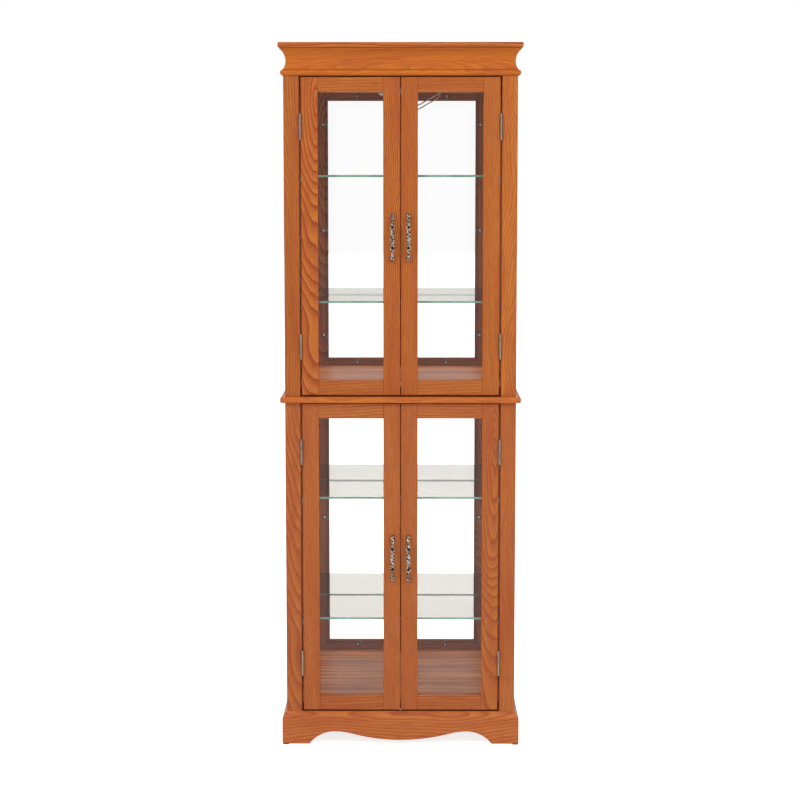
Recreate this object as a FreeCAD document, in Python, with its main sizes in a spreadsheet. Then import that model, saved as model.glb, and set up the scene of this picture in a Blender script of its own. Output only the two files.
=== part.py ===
import FreeCAD, Part
import Sketcher
import math
import os
import re

# A two section display cabinet in stained oak: four glazed doors on butt hinges, glass shelves,
# mirrored backs, glazed sides, a cove crown and a shaped plinth. Millimetres, Z up, the front faces
# -Y, and the origin lies on the floor in the middle of the overall box.

SIZES = {
    # carcass
    "body_width": 570,
    "body_depth": 320,
    "plinth_height": 80,
    "lower_height": 779,
    "waist_thickness": 15,
    "upper_height": 783,
    "crown_height": 80,
    "post_width": 38,
    "front_post_depth": 45,
    "rear_post_depth": 40,
    "post_edge_ease": 1.5,
    "side_frame_thickness": 20,
    "side_rail_height": 42,
    "side_glass_thickness": 4,
    "side_glass_setback": 12.7,
    "side_groove_depth": 6,
    "glass_play": 0.3,
    "lower_floor_thickness": 15,
    "upper_floor_thickness": 20,
    "ceiling_thickness": 15,
    "mirror_thickness": 4,
    "back_panel_thickness": 5,
    "back_rabbet_width": 10,
    "back_panel_play": 0.3,
    # plinth and feet
    "plinth_overhang": 11,
    "plinth_thickness": 28,
    "plinth_round_width": 11,
    "plinth_round_height": 22,
    "plinth_round_bulge": 3.4,
    "foot_length": 68,
    "apron_peak_inset": 131,
    "apron_peak_rise": 31,
    "apron_drop_rise": 9.3,
    "apron_turn_share": 0.25,
    "side_foot_length": 60,
    "side_arch_shoulder": 40,
    "side_arch_rise": 26,
    "back_rail_lift": 12,
    "back_rail_thickness": 15,
    "corner_block_width": 34,
    "corner_block_height": 50,
    "foot_pad_height": 3,
    "foot_pad_width": 14,
    "foot_pad_inset": 1.5,
    # waist board and crown
    "waist_overhang": 11.5,
    "waist_edge_radius": 4,
    "top_board_thickness": 13,
    "top_board_overhang": 12,
    "top_edge_radius": 3,
    "crown_inner_depth": 22,
    "crown_bead_height": 14.5,
    "crown_bead_step": 1,
    "crown_bead_bulge": 6.6,
    "crown_cove_height": 49.5,
    "crown_cove_reach": 8,
    "crown_cove_depth": 10,
    # doors
    "door_thickness": 20,
    "door_back_gap": 0.5,
    "hinge_side_gap": 4.5,
    "centre_gap": 2.4,
    "upper_door_top_gap": 3,
    "upper_door_bottom_gap": 4,
    "lower_door_top_gap": 2,
    "lower_door_bottom_gap": 4,
    "stile_width": 41,
    "rail_height": 37,
    "door_edge_ease": 1,
    "rabbet_width": 8,
    "rabbet_depth": 8,
    "door_glass_thickness": 4,
    "door_glass_play": 0.5,
    "clip_width": 12,
    "clip_foot": 9,
    "clip_tongue": 6,
    "clip_plate": 2,
    "clip_end_inset": 64,
    # hinges
    "hinge_inset": 120,
    "hinge_length": 63.5,
    "hinge_leaf_reach": 19,
    "hinge_leaf_thickness": 1.5,
    "barrel_radius": 3,
    "barrel_clearance": 0.3,
    "knuckle_gap": 0.35,
    "pin_radius": 1.25,
    "pin_fit": 0.05,
    # pulls
    "pull_length": 115,
    "pull_projection": 24,
    "pull_edge_distance": 18.6,
    "pull_strap_thickness": 5,
    "pull_strap_end": 7,
    "pull_flat_length": 61,
    "pull_foot_radius": 5,
    "pull_foot_height": 10,
    "pull_neck_width": 4.4,
    "pull_ring_radius": 6.6,
    "pull_ring_hole": 2.9,
    "pull_ring_spacing": 47,
    "pull_leaf_width": 11.5,
    "pull_leaf_length": 30,
    "pull_saw_margin": 2,
    # shelves
    "shelf_thickness": 5,
    "shelf_end_gap": 2,
    "shelf_front_setback": 29,
    "shelf_back_gap": 2,
    "upper_high_shelf": 538.5,
    "upper_low_shelf": 229.5,
    "lower_high_shelf": 534.5,
    "lower_low_shelf": 228.5,
    "bracket_width": 12,
    "bracket_reach": 12,
    "bracket_height": 14,
    "bracket_plate": 1.6,
    "bracket_inset": 3,
    # catches
    "catch_length": 58,
    "catch_case_length": 40,
    "catch_flange": 2.5,
    "catch_depth": 14,
    "catch_height": 12,
    "catch_gap": 0.35,
    "strike_length": 16,
    "strike_height": 10,
    "strike_thickness": 1.2,
    "strike_edge_distance": 3,
    "strike_drop": 1,
    # lamp
    "lamp_length": 60,
    "lamp_depth": 44,
    "lamp_height": 11,
    "lamp_wall": 3,
    "lamp_offset": -30,
    "lamp_setback": 130,
    "lens_drop": 2.5,
    "lens_play": 0.3,
    "lens_seat": 5,
    "lead_diameter": 3,
}

# Counts of the hinges' knuckles. They alternate along the pin, the frame leaf's first and last.
KNUCKLES = 3
FRAME_KNUCKLES = range(0, KNUCKLES, 2)
DOOR_KNUCKLES = range(1, KNUCKLES, 2)

# Places that follow from the sizes, as formulas of a second sheet.
LAYOUT = {
    "face_y": "(pull_projection - body_depth) / 2",
    "back_y": "(pull_projection + body_depth) / 2",
    "half_width": "body_width / 2",
    "post_inner": "half_width - post_width",
    "frame_inner": "half_width - side_frame_thickness",
    "front_post_back": "face_y + front_post_depth",
    "rear_post_front": "back_y - rear_post_depth",
    "mirror_back": "back_y - back_panel_thickness",
    "mirror_front": "mirror_back - mirror_thickness",
    "panel_half_width": "post_inner + back_rabbet_width - back_panel_play",
    "plinth_top": "foot_pad_height + plinth_height",
    "lower_floor_top": "plinth_top + lower_floor_thickness",
    "waist_bottom": "plinth_top + lower_height",
    "waist_top": "waist_bottom + waist_thickness",
    "upper_floor_top": "waist_top + upper_floor_thickness",
    "crown_bottom": "waist_top + upper_height",
    "ceiling_bottom": "crown_bottom - ceiling_thickness",
    "cabinet_top": "crown_bottom + crown_height",
    "top_board_bottom": "cabinet_top - top_board_thickness",
    "lower_bottom": "plinth_top",
    "lower_top": "waist_bottom",
    "lower_catch_top": "waist_bottom",
    "upper_bottom": "waist_top",
    "upper_top": "crown_bottom",
    "upper_catch_top": "ceiling_bottom",
    "plinth_inner": "plinth_thickness - plinth_overhang",
    "plinth_round": "((plinth_round_width^2 + plinth_round_height^2) / 4 + plinth_round_bulge^2)"
    " / (2 * plinth_round_bulge)",
    "foot_end": "half_width + plinth_overhang - foot_length",
    "foot_round": "((apron_peak_inset - foot_length)^2 + apron_peak_rise^2) / (2 * apron_peak_rise)",
    "apron_peak": "half_width + plinth_overhang - apron_peak_inset",
    "apron_fall": "apron_peak_rise - apron_drop_rise",
    "apron_round": "(apron_peak^2 + apron_fall^2) / (2 * apron_fall)",
    "side_arch_round": "(side_arch_shoulder^2 + side_arch_rise^2) / (2 * side_arch_rise)",
    "crown_bead_round": "((crown_bead_height^2 + crown_bead_step^2) / 4 + crown_bead_bulge^2)"
    " / (2 * crown_bead_bulge)",
    "crown_cove_round": "((crown_cove_height^2 + (crown_cove_reach - crown_bead_step)^2) / 4"
    " + crown_cove_depth^2) / (2 * crown_cove_depth)",
    "groove_outer": "half_width - side_glass_setback",
    "groove_inner": "groove_outer - side_glass_thickness - 2 * glass_play",
    "door_back": "face_y + door_thickness",
    "door_outer": "post_inner - hinge_side_gap",
    "door_inner": "centre_gap / 2",
    "hinge_stile_inner": "door_outer - stile_width",
    "lock_stile_outer": "door_inner + stile_width",
    "rabbet_floor": "door_back - rabbet_depth",
    "pane_back": "rabbet_floor + door_glass_thickness",
    "pane_lap": "rabbet_width - door_glass_play",
    "upper_door_bottom": "waist_top + upper_door_bottom_gap",
    "upper_door_top": "crown_bottom - upper_door_top_gap",
    "lower_door_bottom": "plinth_top + lower_door_bottom_gap",
    "lower_door_top": "waist_bottom - lower_door_top_gap",
    "hinge_x": "post_inner - hinge_side_gap / 2",
    "hinge_y": "face_y - barrel_radius - barrel_clearance",
    "leaf_start": "barrel_radius + knuckle_gap",
    "knuckle_length": f"hinge_length / {KNUCKLES}",
    "shelf_half_width": "post_inner - shelf_end_gap",
    "shelf_front": "face_y + shelf_front_setback",
    "shelf_back": "mirror_front - shelf_back_gap",
    "catch_front": "door_back + strike_thickness + catch_gap",
    "lamp_y": "face_y + lamp_setback",
    "lamp_bottom": "ceiling_bottom - lamp_height",
    "lamp_right": "lamp_offset + lamp_length / 2",
}

SECTIONS = ("lower", "upper")
SHELF_LEVELS = ("low", "high")
PLANE_ROLES = {"xy": "XY_Plane", "xz": "XZ_Plane", "yz": "YZ_Plane"}
LEFT_TURN = 1
RIGHT_TURN = -1
SAME_PLACE = 1e-4

# The route of the lamp's lead, across from the lamp's right end and down from the ceiling. It
# drops in a slack loop and rises to the right.
LEAD_ROUTE = [
    (0, -5.5),
    (10, -5.5),
    (18, -13.5),
    (20, -28.5),
    (23, -44),
    (33.5, -54),
    (48, -50.5),
    (66, -38.5),
    (83, -30),
    (97, -21),
    (104, -11),
    (104, 0),
]
LEAD_SIDES = 6
LEAD_BEND_SHARE = 0.45

doc = FreeCAD.newDocument("display_cabinet")
nodes = []


def cells(text, own_sheet=False):
    """Turn the plain names in a formula into references to the two sheets."""
    layout_prefix = "" if own_sheet else "layout."

    def reference(match):
        word = match.group(0)
        if word in SIZES:
            return "sizes." + word
        if word in LAYOUT:
            return layout_prefix + word
        return word

    return re.sub("[a-z]+(?:_[a-z]+)*", reference, text)


def fill_sheets():
    """Write the driving sizes as plain numbers, and the places as formulas of them."""
    sizes = doc.addObject("Spreadsheet::Sheet", "sizes")
    for row, (name, value) in enumerate(SIZES.items(), 1):
        sizes.set(f"A{row}", name)
        sizes.set(f"B{row}", str(value))
        sizes.setAlias(f"B{row}", name)
    places = doc.addObject("Spreadsheet::Sheet", "layout")
    for row, (name, formula) in enumerate(LAYOUT.items(), 1):
        places.set(f"A{row}", name)
        places.setAlias(f"B{row}", name)
        places.set(f"B{row}", "=" + cells(formula, own_sheet=True))
    doc.recompute()
    return places


layout = fill_sheets()


def value_of(text):
    """The number that a formula gives with the sheets as they are."""
    return float(layout.evalExpression(cells(text, own_sheet=True)))


def node(label, thing):
    """Name a finished sub-part and list it for export."""
    thing.Label = label
    nodes.append(thing)
    return thing


def new_body(name):
    return doc.addObject("PartDesign::Body", name)


def bind_place(thing, across, back, up):
    """Bind the place of an object to three formulas."""
    for axis, formula in zip("xyz", (across, back, up)):
        thing.setExpression(f"Placement.Base.{axis}", cells(formula))


def new_sketch(body, name, plane, offset):
    """A sketch on one of the body's own origin planes, moved along the axis across that plane."""
    sketch = body.newObject("Sketcher::SketchObject", name)
    role = PLANE_ROLES[plane]
    support = [part for part in body.Origin.OriginFeatures if part.Role == role][0]
    sketch.AttachmentSupport = (support, [""])
    sketch.MapMode = "FlatFace"
    sign = "-1" if plane == "xz" else "1"
    sketch.setExpression("AttachmentOffset.Base.z", f"{sign} * ({cells(offset)})")
    return sketch


def bind(sketch, kind, formula, *where):
    """Add a dimension whose value is bound to a formula."""
    number = sketch.addConstraint(Sketcher.Constraint(kind, *where, value_of(formula)))
    sketch.setExpression(f"Constraints[{number}]", cells(formula))


def arc_between(start, end, radius, turn):
    """The shorter arc of a radius from start to end, turning left or right on the way."""
    half_chord = math.dist(start, end) / 2
    rise = turn * math.sqrt(max(radius * radius - half_chord * half_chord, 0))
    along_x = (end[0] - start[0]) / (2 * half_chord)
    along_y = (end[1] - start[1]) / (2 * half_chord)
    middle_x = (start[0] + end[0]) / 2
    middle_y = (start[1] + end[1]) / 2
    centre = FreeCAD.Vector(middle_x - along_y * rise, middle_y + along_x * rise, 0)
    first, last = (start, end) if turn == LEFT_TURN else (end, start)
    first_angle = math.atan2(first[1] - centre.y, first[0] - centre.x)
    last_angle = math.atan2(last[1] - centre.y, last[0] - centre.x)
    circle = Part.Circle(centre, FreeCAD.Vector(0, 0, 1), radius)
    return Part.ArcOfCircle(circle, first_angle, last_angle)


def draw_outline(sketch, corners):
    """Draw one closed outline. A corner is (across, up), or (across, up, radius, turn) where the
    side to the next corner is an arc. Every corner and radius is bound to its formula."""
    first = sketch.GeometryCount
    count = len(corners)
    points = [(value_of(corner[0]), value_of(corner[1])) for corner in corners]
    ends = []
    for index, corner in enumerate(corners):
        start = points[index]
        end = points[(index + 1) % count]
        if len(corner) == 4:
            side = arc_between(start, end, value_of(corner[2]), corner[3])
        else:
            side = Part.LineSegment(FreeCAD.Vector(*start, 0), FreeCAD.Vector(*end, 0))
        sketch.addGeometry(side, False)
        backwards = len(corner) == 4 and corner[3] == RIGHT_TURN
        ends.append((2, 1) if backwards else (1, 2))
    for index in range(count):
        following = (index + 1) % count
        this_end = (first + index, ends[index][1])
        next_start = (first + following, ends[following][0])
        sketch.addConstraint(Sketcher.Constraint("Coincident", *this_end, *next_start))
    for index, corner in enumerate(corners):
        start = (first + index, ends[index][0])
        bind(sketch, "DistanceX", corner[0], -1, 1, *start)
        bind(sketch, "DistanceY", corner[1], -1, 1, *start)
        if len(corner) == 4:
            bind(sketch, "Radius", corner[2], first + index)


def draw_circle(sketch, across, up, radius):
    """Draw a circle whose centre and radius are bound to their formulas."""
    centre = FreeCAD.Vector(value_of(across), value_of(up), 0)
    circle = Part.Circle(centre, FreeCAD.Vector(0, 0, 1), value_of(radius))
    index = sketch.addGeometry(circle, False)
    bind(sketch, "DistanceX", across, -1, 1, index, 3)
    bind(sketch, "DistanceY", up, -1, 1, index, 3)
    bind(sketch, "Radius", radius, index)


def draw_all(sketch, shapes):
    """Draw outlines, which are lists of corners, and circles, which are tuples."""
    for shape in shapes:
        if isinstance(shape, tuple):
            draw_circle(sketch, *shape)
        else:
            draw_outline(sketch, shape)


def rectangle(left, bottom, right, top):
    return [(left, bottom), (right, bottom), (right, top), (left, top)]


def pad(body, name, plane, shapes, start, end):
    """Pad shapes from start to end along the axis across their plane."""
    sketch = new_sketch(body, name + "_outline", plane, start)
    draw_all(sketch, shapes)
    feature = body.newObject("PartDesign::Pad", name)
    feature.Profile = sketch
    feature.Reversed = plane == "xz"
    feature.setExpression("Length", cells(f"({end}) - ({start})"))
    return feature


def cut(body, name, plane, shapes, start, end):
    """Cut shapes from start to end along the axis across their plane, and see that they cut."""
    doc.recompute()
    before = body.Shape.Volume
    sketch = new_sketch(body, name + "_outline", plane, start)
    draw_all(sketch, shapes)
    feature = body.newObject("PartDesign::Pocket", name)
    feature.Profile = sketch
    feature.Reversed = plane != "xz"
    feature.setExpression("Length", cells(f"({end}) - ({start})"))
    doc.recompute()
    if not body.Shape.Volume < before:
        raise ValueError(f"{name} cuts nothing from {body.Name}")
    return feature


def revolve(body, name, plane, offset, corners):
    """Revolve an outline about the sketch's upright axis."""
    sketch = new_sketch(body, name + "_outline", plane, offset)
    draw_outline(sketch, corners)
    feature = body.newObject("PartDesign::Revolution", name)
    feature.Profile = sketch
    feature.ReferenceAxis = (sketch, ["V_Axis"])
    feature.Angle = 360
    return feature


def same(first, second):
    return abs(first - second) < SAME_PLACE


def soften(body, kind, base, size, wanted):
    """Chamfer or Fillet the edges of the base feature whose boxes are wanted."""
    doc.recompute()
    feature = body.newObject(f"PartDesign::{kind}", f"{body.Name}_{kind}")
    numbered = enumerate(base.Shape.Edges, 1)
    feature.Base = (base, [f"Edge{number}" for number, edge in numbered if wanted(edge.BoundBox)])
    feature.setExpression("Radius" if kind == "Fillet" else "Size", cells(size))
    return feature


def grouped(label, members):
    """One node that holds several separate solids."""
    group = doc.addObject("Part::Compound", label)
    group.Links = members
    return group


def mirrored(label, source):
    """The same thing on the other side of the cabinet's middle plane."""
    reflection = doc.addObject("Part::Mirroring", label)
    reflection.Source = source
    reflection.Normal = FreeCAD.Vector(1, 0, 0)
    return reflection


def linked(name, source, across, back, up):
    """A copy of a finished thing at another place."""
    copy = doc.addObject("App::Link", name)
    copy.LinkedObject = source
    bind_place(copy, across, back, up)
    return copy


def on_front(profile):
    """A moulding's profile, given as depth in from the body and height, for the front run."""
    return [(f"face_y + ({corner[0]})",) + tuple(corner[1:]) for corner in profile]


def on_side(profile):
    """The same profile for the right side's run, where arcs turn the other way."""
    corners = []
    for corner in profile:
        turned = (corner[2], -corner[3]) if len(corner) == 4 else ()
        corners.append((f"half_width - ({corner[0]})", corner[1]) + turned)
    return corners


def front_moulding(name, profile, inner, reach, bottom, top):
    """A front run with both ends mitred to meet the side runs at the body's corners."""
    body = new_body(name)
    outer = f"half_width + {reach}"
    pad(body, name + "_run", "yz", [on_front(profile)], f"-({outer})", outer)
    corners = [(outer, f"face_y - {reach}"), (outer, f"face_y + {inner}")]
    corners.append((f"half_width - {inner}", f"face_y + {inner}"))
    left = [(f"-({across})", back) for across, back in corners]
    cut(body, name + "_mitres", "xy", [corners, left], bottom, top)
    return body


def side_moulding(name, profile, inner, reach, bottom, top):
    """The right side's run, mitred at its front end and square at the back."""
    body = new_body(name)
    front = f"face_y - {reach}"
    pad(body, name + "_run", "xz", [on_side(profile)], front, "back_y")
    corners = [(f"half_width - {inner}", front), (f"half_width + {reach}", front)]
    corners.append((f"half_width - {inner}", f"face_y + {inner}"))
    cut(body, name + "_mitre", "xy", [corners], bottom, top)
    return body


def plinth_profile():
    bottom = "foot_pad_height"
    shoulder = "plinth_top - plinth_round_height"
    return [
        ("plinth_inner", bottom),
        ("-plinth_overhang", bottom),
        ("-plinth_overhang", shoulder, "plinth_round", RIGHT_TURN),
        ("plinth_round_width - plinth_overhang", "plinth_top"),
        ("plinth_inner", "plinth_top"),
    ]


def apron_outline():
    """The shaped lower edge: a round behind each foot, a peak, and an ogee down to the middle."""
    foot = "foot_pad_height"
    peak = "foot_pad_height + apron_peak_rise"
    turn_x = "apron_peak * (1 - apron_turn_share)"
    turn_z = "foot_pad_height + apron_peak_rise - apron_fall * apron_turn_share"
    peak_round = "apron_round * apron_turn_share"
    drop_round = "apron_round * (1 - apron_turn_share)"
    return [
        ("-foot_end", foot, "foot_round", RIGHT_TURN),
        ("-apron_peak", peak, peak_round, RIGHT_TURN),
        (f"-({turn_x})", turn_z, drop_round, LEFT_TURN),
        (turn_x, turn_z, peak_round, RIGHT_TURN),
        ("apron_peak", peak, "foot_round", RIGHT_TURN),
        ("foot_end", foot),
    ]


def side_arch_outline():
    front = "face_y - plinth_overhang + side_foot_length"
    back = "back_y - side_foot_length"
    top = "foot_pad_height + side_arch_rise"
    return [
        (front, "foot_pad_height", "side_arch_round", RIGHT_TURN),
        (f"{front} + side_arch_shoulder", top),
        (f"{back} - side_arch_shoulder", top, "side_arch_round", RIGHT_TURN),
        (back, "foot_pad_height"),
    ]


def build_plinth():
    """Mitred plinth boards with bracket feet, glue blocks in the corners and pads under them."""
    span = ("plinth_inner", "plinth_overhang", "foot_pad_height", "plinth_top")
    front = front_moulding("plinth_front", plinth_profile(), *span)
    cut(front, "apron", "xz", [apron_outline()], "face_y - plinth_overhang", "face_y + plinth_inner")
    node("plinth_front", front)
    side = side_moulding("plinth_side", plinth_profile(), *span)
    inner_x = "half_width - plinth_inner"
    cut(side, "side_arch", "yz", [side_arch_outline()], inner_x, "half_width + plinth_overhang")
    node("plinth_returns", grouped("plinth_returns", [side, mirrored("left_plinth_side", side)]))

    rail_front = "back_y - back_rail_thickness"
    blocks = new_body("corner_blocks")
    loops = []
    for side_sign in ("1", "-1"):
        for corner_y, inward in (("face_y + plinth_inner", "1"), (rail_front, "-1")):
            corner_x = f"{side_sign} * ({inner_x})"
            loops.append([
                (corner_x, corner_y),
                (f"{corner_x} - {side_sign} * corner_block_width", corner_y),
                (corner_x, f"{corner_y} + {inward} * corner_block_width"),
            ])
    pad(blocks, "blocks", "xy", loops, "plinth_top - corner_block_height", "plinth_top")
    node("corner_blocks", blocks)

    feet = new_body("foot_pads")
    outer = "half_width + plinth_overhang - foot_pad_inset"
    front_edge = "face_y - plinth_overhang + foot_pad_inset"
    squares = []
    for side_sign in ("1", "-1"):
        for near in (front_edge, "back_y - foot_pad_inset - foot_pad_width"):
            squares.append(rectangle(
                f"{side_sign} * ({outer} - foot_pad_width)",
                near,
                f"{side_sign} * ({outer})",
                f"{near} + foot_pad_width",
            ))
    pad(feet, "pads", "xy", squares, "0", "foot_pad_height")
    node("foot_pads", feet)


def build_crown():
    """Mitred bead and cove moulding under the top board, with a plain rail across the back."""
    bead_top = "crown_bottom + crown_bead_height"
    cove_top = f"{bead_top} + crown_cove_height"
    profile = [
        ("crown_inner_depth", "crown_bottom"),
        ("0", "crown_bottom", "crown_bead_round", RIGHT_TURN),
        ("-crown_bead_step", bead_top, "crown_cove_round", LEFT_TURN),
        ("-crown_cove_reach", cove_top),
        ("-crown_cove_reach", "top_board_bottom"),
        ("crown_inner_depth", "top_board_bottom"),
    ]
    span = ("crown_inner_depth", "top_board_overhang", "crown_bottom", "top_board_bottom")
    node("crown_front", front_moulding("crown_front", profile, *span))
    side = side_moulding("crown_side", profile, *span)
    node("crown_returns", grouped("crown_returns", [side, mirrored("left_crown_side", side)]))


def build_back_rails():
    """Plain rails that close the plinth and the crown at the back."""
    rails = new_body("back_rails")
    rail_front = "back_y - back_rail_thickness"
    low_half = "half_width - plinth_inner"
    low = rectangle(f"-({low_half})", "foot_pad_height + back_rail_lift", low_half, "plinth_top")
    high_half = "half_width - crown_inner_depth"
    high = rectangle(f"-({high_half})", "crown_bottom", high_half, "top_board_bottom")
    pad(rails, "rails", "xz", [low, high], rail_front, "back_y")
    node("back_rails", rails)


def overhanging_board(name, overhang, bottom, top, radius):
    """A board that stands out on three sides, rounded there and flush at the back."""
    body = new_body(name)
    half = f"half_width + {overhang}"
    outline = rectangle(f"-({half})", f"face_y - {overhang}", half, "back_y")
    board = pad(body, name + "_board", "xy", [outline], bottom, top)
    back = value_of("back_y")

    def overhangs(box):
        level = same(box.ZLength, 0)
        return level and not (same(box.YMin, back) and same(box.YMax, back))

    soften(body, "Fillet", board, radius, overhangs)
    node(name, body)


def notched_board(name, bottom, top):
    """A floor or ceiling, notched round the four posts, from the doors back to the mirror."""
    body = new_body(name)
    front = "door_back + door_back_gap"
    right = [
        ("post_inner", front),
        ("post_inner", "front_post_back"),
        ("frame_inner", "front_post_back"),
        ("frame_inner", "rear_post_front"),
        ("post_inner", "rear_post_front"),
        ("post_inner", "mirror_front"),
    ]
    left = [(f"-{across}", back) for across, back in reversed(right)]
    pad(body, name + "_board", "xy", [right + left], bottom, top)
    node(name, body)


def front_post(section):
    """The right front post: its face shows beside the doors and its back holds the side glass."""
    body = new_body(f"{section}_front_post")
    outline = [
        ("post_inner", "face_y"),
        ("half_width", "face_y"),
        ("half_width", "front_post_back"),
        ("groove_outer", "front_post_back"),
        ("groove_outer", "front_post_back - side_groove_depth"),
        ("groove_inner", "front_post_back - side_groove_depth"),
        ("groove_inner", "front_post_back"),
        ("post_inner", "front_post_back"),
    ]
    post = pad(body, f"{section}_front_length", "xy", [outline], f"{section}_bottom", f"{section}_top")
    face = value_of("face_y")
    soften(
        body, "Chamfer", post, "post_edge_ease",
        lambda box: same(box.YMax, face) and not same(box.ZLength, 0),
    )
    return body


def rear_post(section):
    """The right rear post, grooved for the side glass and rabbeted for the mirror and its panel."""
    body = new_body(f"{section}_rear_post")
    outline = [
        ("post_inner", "rear_post_front"),
        ("groove_inner", "rear_post_front"),
        ("groove_inner", "rear_post_front + side_groove_depth"),
        ("groove_outer", "rear_post_front + side_groove_depth"),
        ("groove_outer", "rear_post_front"),
        ("half_width", "rear_post_front"),
        ("half_width", "back_y"),
        ("post_inner + back_rabbet_width", "back_y"),
        ("post_inner + back_rabbet_width", "mirror_front"),
        ("post_inner", "mirror_front"),
    ]
    pad(body, f"{section}_rear_length", "xy", [outline], f"{section}_bottom", f"{section}_top")
    return body


def side_rail(section, end, edge, inward):
    """A rail of the right side frame, grooved along the edge that faces the glass."""
    body = new_body(f"{section}_{end}_side_rail")
    groove_edge = f"{edge} + {inward} * side_rail_height"
    groove_floor = f"{edge} + {inward} * (side_rail_height - side_groove_depth)"
    outline = [
        ("frame_inner", edge),
        ("half_width", edge),
        ("half_width", groove_edge),
        ("groove_outer", groove_edge),
        ("groove_outer", groove_floor),
        ("groove_inner", groove_floor),
        ("groove_inner", groove_edge),
        ("frame_inner", groove_edge),
    ]
    pad(body, f"{section}_{end}_length", "xz", [outline], "front_post_back", "rear_post_front")
    return body


def build_sides():
    """Glazed side frames of two posts and two rails, with their panes."""
    panes = []
    for section in SECTIONS:
        bottom = f"{section}_bottom"
        top = f"{section}_top"
        members = [front_post(section), rear_post(section)]
        members.append(side_rail(section, "bottom", bottom, "1"))
        members.append(side_rail(section, "top", top, "-1"))
        right = node(f"{section}_right_side_frame", grouped(f"{section}_right_frame", members))
        node(f"{section}_left_side_frame", mirrored(f"{section}_left_frame", right))
        pane = new_body(f"{section}_side_pane")
        lap = "(side_groove_depth - glass_play)"
        outline = rectangle(
            f"front_post_back - {lap}",
            f"{bottom} + side_rail_height - {lap}",
            f"rear_post_front + {lap}",
            f"{top} - side_rail_height + {lap}",
        )
        faces = ("groove_inner + glass_play", "groove_outer - glass_play")
        pad(pane, f"{section}_side_pane_sheet", "yz", [outline], *faces)
        panes += [pane, mirrored(f"{section}_left_side_pane", pane)]
    node("side_glass", grouped("side_glass", panes))


def build_backs():
    """A mirror and the panel behind it in each section, in the rear posts' rabbets."""
    panels = new_body("back_panels")
    sheets = []
    for section in SECTIONS:
        bottom = f"{section}_bottom + back_panel_play"
        top = f"{section}_top - back_panel_play"
        sheets.append(rectangle("-panel_half_width", bottom, "panel_half_width", top))
    pad(panels, "panels", "xz", sheets, "mirror_back", "back_y")
    node("back_panels", panels)
    for section, sheet in zip(SECTIONS, sheets):
        mirror = new_body(f"{section}_mirror")
        pad(mirror, f"{section}_mirror_sheet", "xz", [sheet], "mirror_front", "mirror_back")
        node(f"{section}_mirror", mirror)


def build_shelves():
    """Two loose glass shelves in each section, on angle brackets fixed to the posts."""
    bracket_loops = []
    for section in SECTIONS:
        shelves = []
        for level in SHELF_LEVELS:
            under = f"{section}_bottom + {section}_{level}_shelf"
            shelf = new_body(f"{section}_{level}_glass_shelf")
            outline = rectangle("-shelf_half_width", "shelf_front", "shelf_half_width", "shelf_back")
            sheet = f"{section}_{level}_sheet"
            pad(shelf, sheet, "xy", [outline], under, f"{under} + shelf_thickness")
            shelves.append(shelf)
            for sign in ("1", "-1"):
                bracket_loops.append([
                    (f"{sign} * post_inner", under),
                    (f"{sign} * (post_inner - bracket_reach)", under),
                    (f"{sign} * (post_inner - bracket_reach)", f"{under} - bracket_plate"),
                    (f"{sign} * (post_inner - bracket_plate)", f"{under} - bracket_plate"),
                    (f"{sign} * (post_inner - bracket_plate)", f"{under} - bracket_height"),
                    (f"{sign} * post_inner", f"{under} - bracket_height"),
                ])
        node(f"{section}_glass_shelves", grouped(f"{section}_glass_shelves", shelves))
    rows = []
    for row, start in (("front", "shelf_front + bracket_inset"), ("rear", "rear_post_front + bracket_inset")):
        brackets = new_body(f"{row}_brackets")
        pad(brackets, f"{row}_row", "xz", bracket_loops, start, f"{start} + bracket_width")
        rows.append(brackets)
    node("shelf_brackets", grouped("shelf_brackets", rows))


def comb_outline(knuckles, shortened):
    """A hinge leaf seen from the side: a plate whose tabs reach the axis at its own knuckles."""
    half = "hinge_length / 2"
    corners = [("hinge_leaf_reach", f"-{half}"), ("hinge_leaf_reach", half), ("leaf_start", half)]
    for knuckle in sorted(knuckles, reverse=True):
        top = f"{knuckle + 1} * knuckle_length - {half} - {shortened}"
        bottom = f"{knuckle} * knuckle_length - {half} + {shortened}"
        if knuckle < KNUCKLES - 1:
            corners.append(("leaf_start", top))
        else:
            corners.pop()
        corners += [("0", top), ("0", bottom)]
        if knuckle > 0:
            corners.append(("leaf_start", bottom))
    if min(knuckles) > 0:
        corners.append(("leaf_start", f"-{half}"))
    return corners


def leaf_plate(body, side, knuckles, shortened):
    """The flat of a leaf, against the post where side is 1 and against the door where it is -1."""
    seat = f"{side} * hinge_side_gap / 2"
    inside = f"{side} * (hinge_side_gap / 2 - hinge_leaf_thickness)"
    start, end = (inside, seat) if side > 0 else (seat, inside)
    pad(body, f"{body.Name}_plate", "yz", [comb_outline(knuckles, shortened)], start, end)


def build_frame_leaf():
    """A right frame leaf: its knuckles, and the pin that is riveted into them."""
    body = new_body("frame_leaf")
    leaf_plate(body, 1, FRAME_KNUCKLES, "0")
    half = "hinge_length / 2"
    corners = [("0", f"-{half}")]
    for knuckle in FRAME_KNUCKLES:
        bottom = f"{knuckle} * knuckle_length - {half}"
        top = f"{knuckle + 1} * knuckle_length - {half}"
        corners += [("barrel_radius", bottom), ("barrel_radius", top)]
        if knuckle < max(FRAME_KNUCKLES):
            corners += [("pin_radius", top), ("pin_radius", f"{top} + knuckle_length")]
    corners.append(("0", half))
    revolve(body, "frame_barrel", "xz", "0", corners)
    return body


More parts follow.
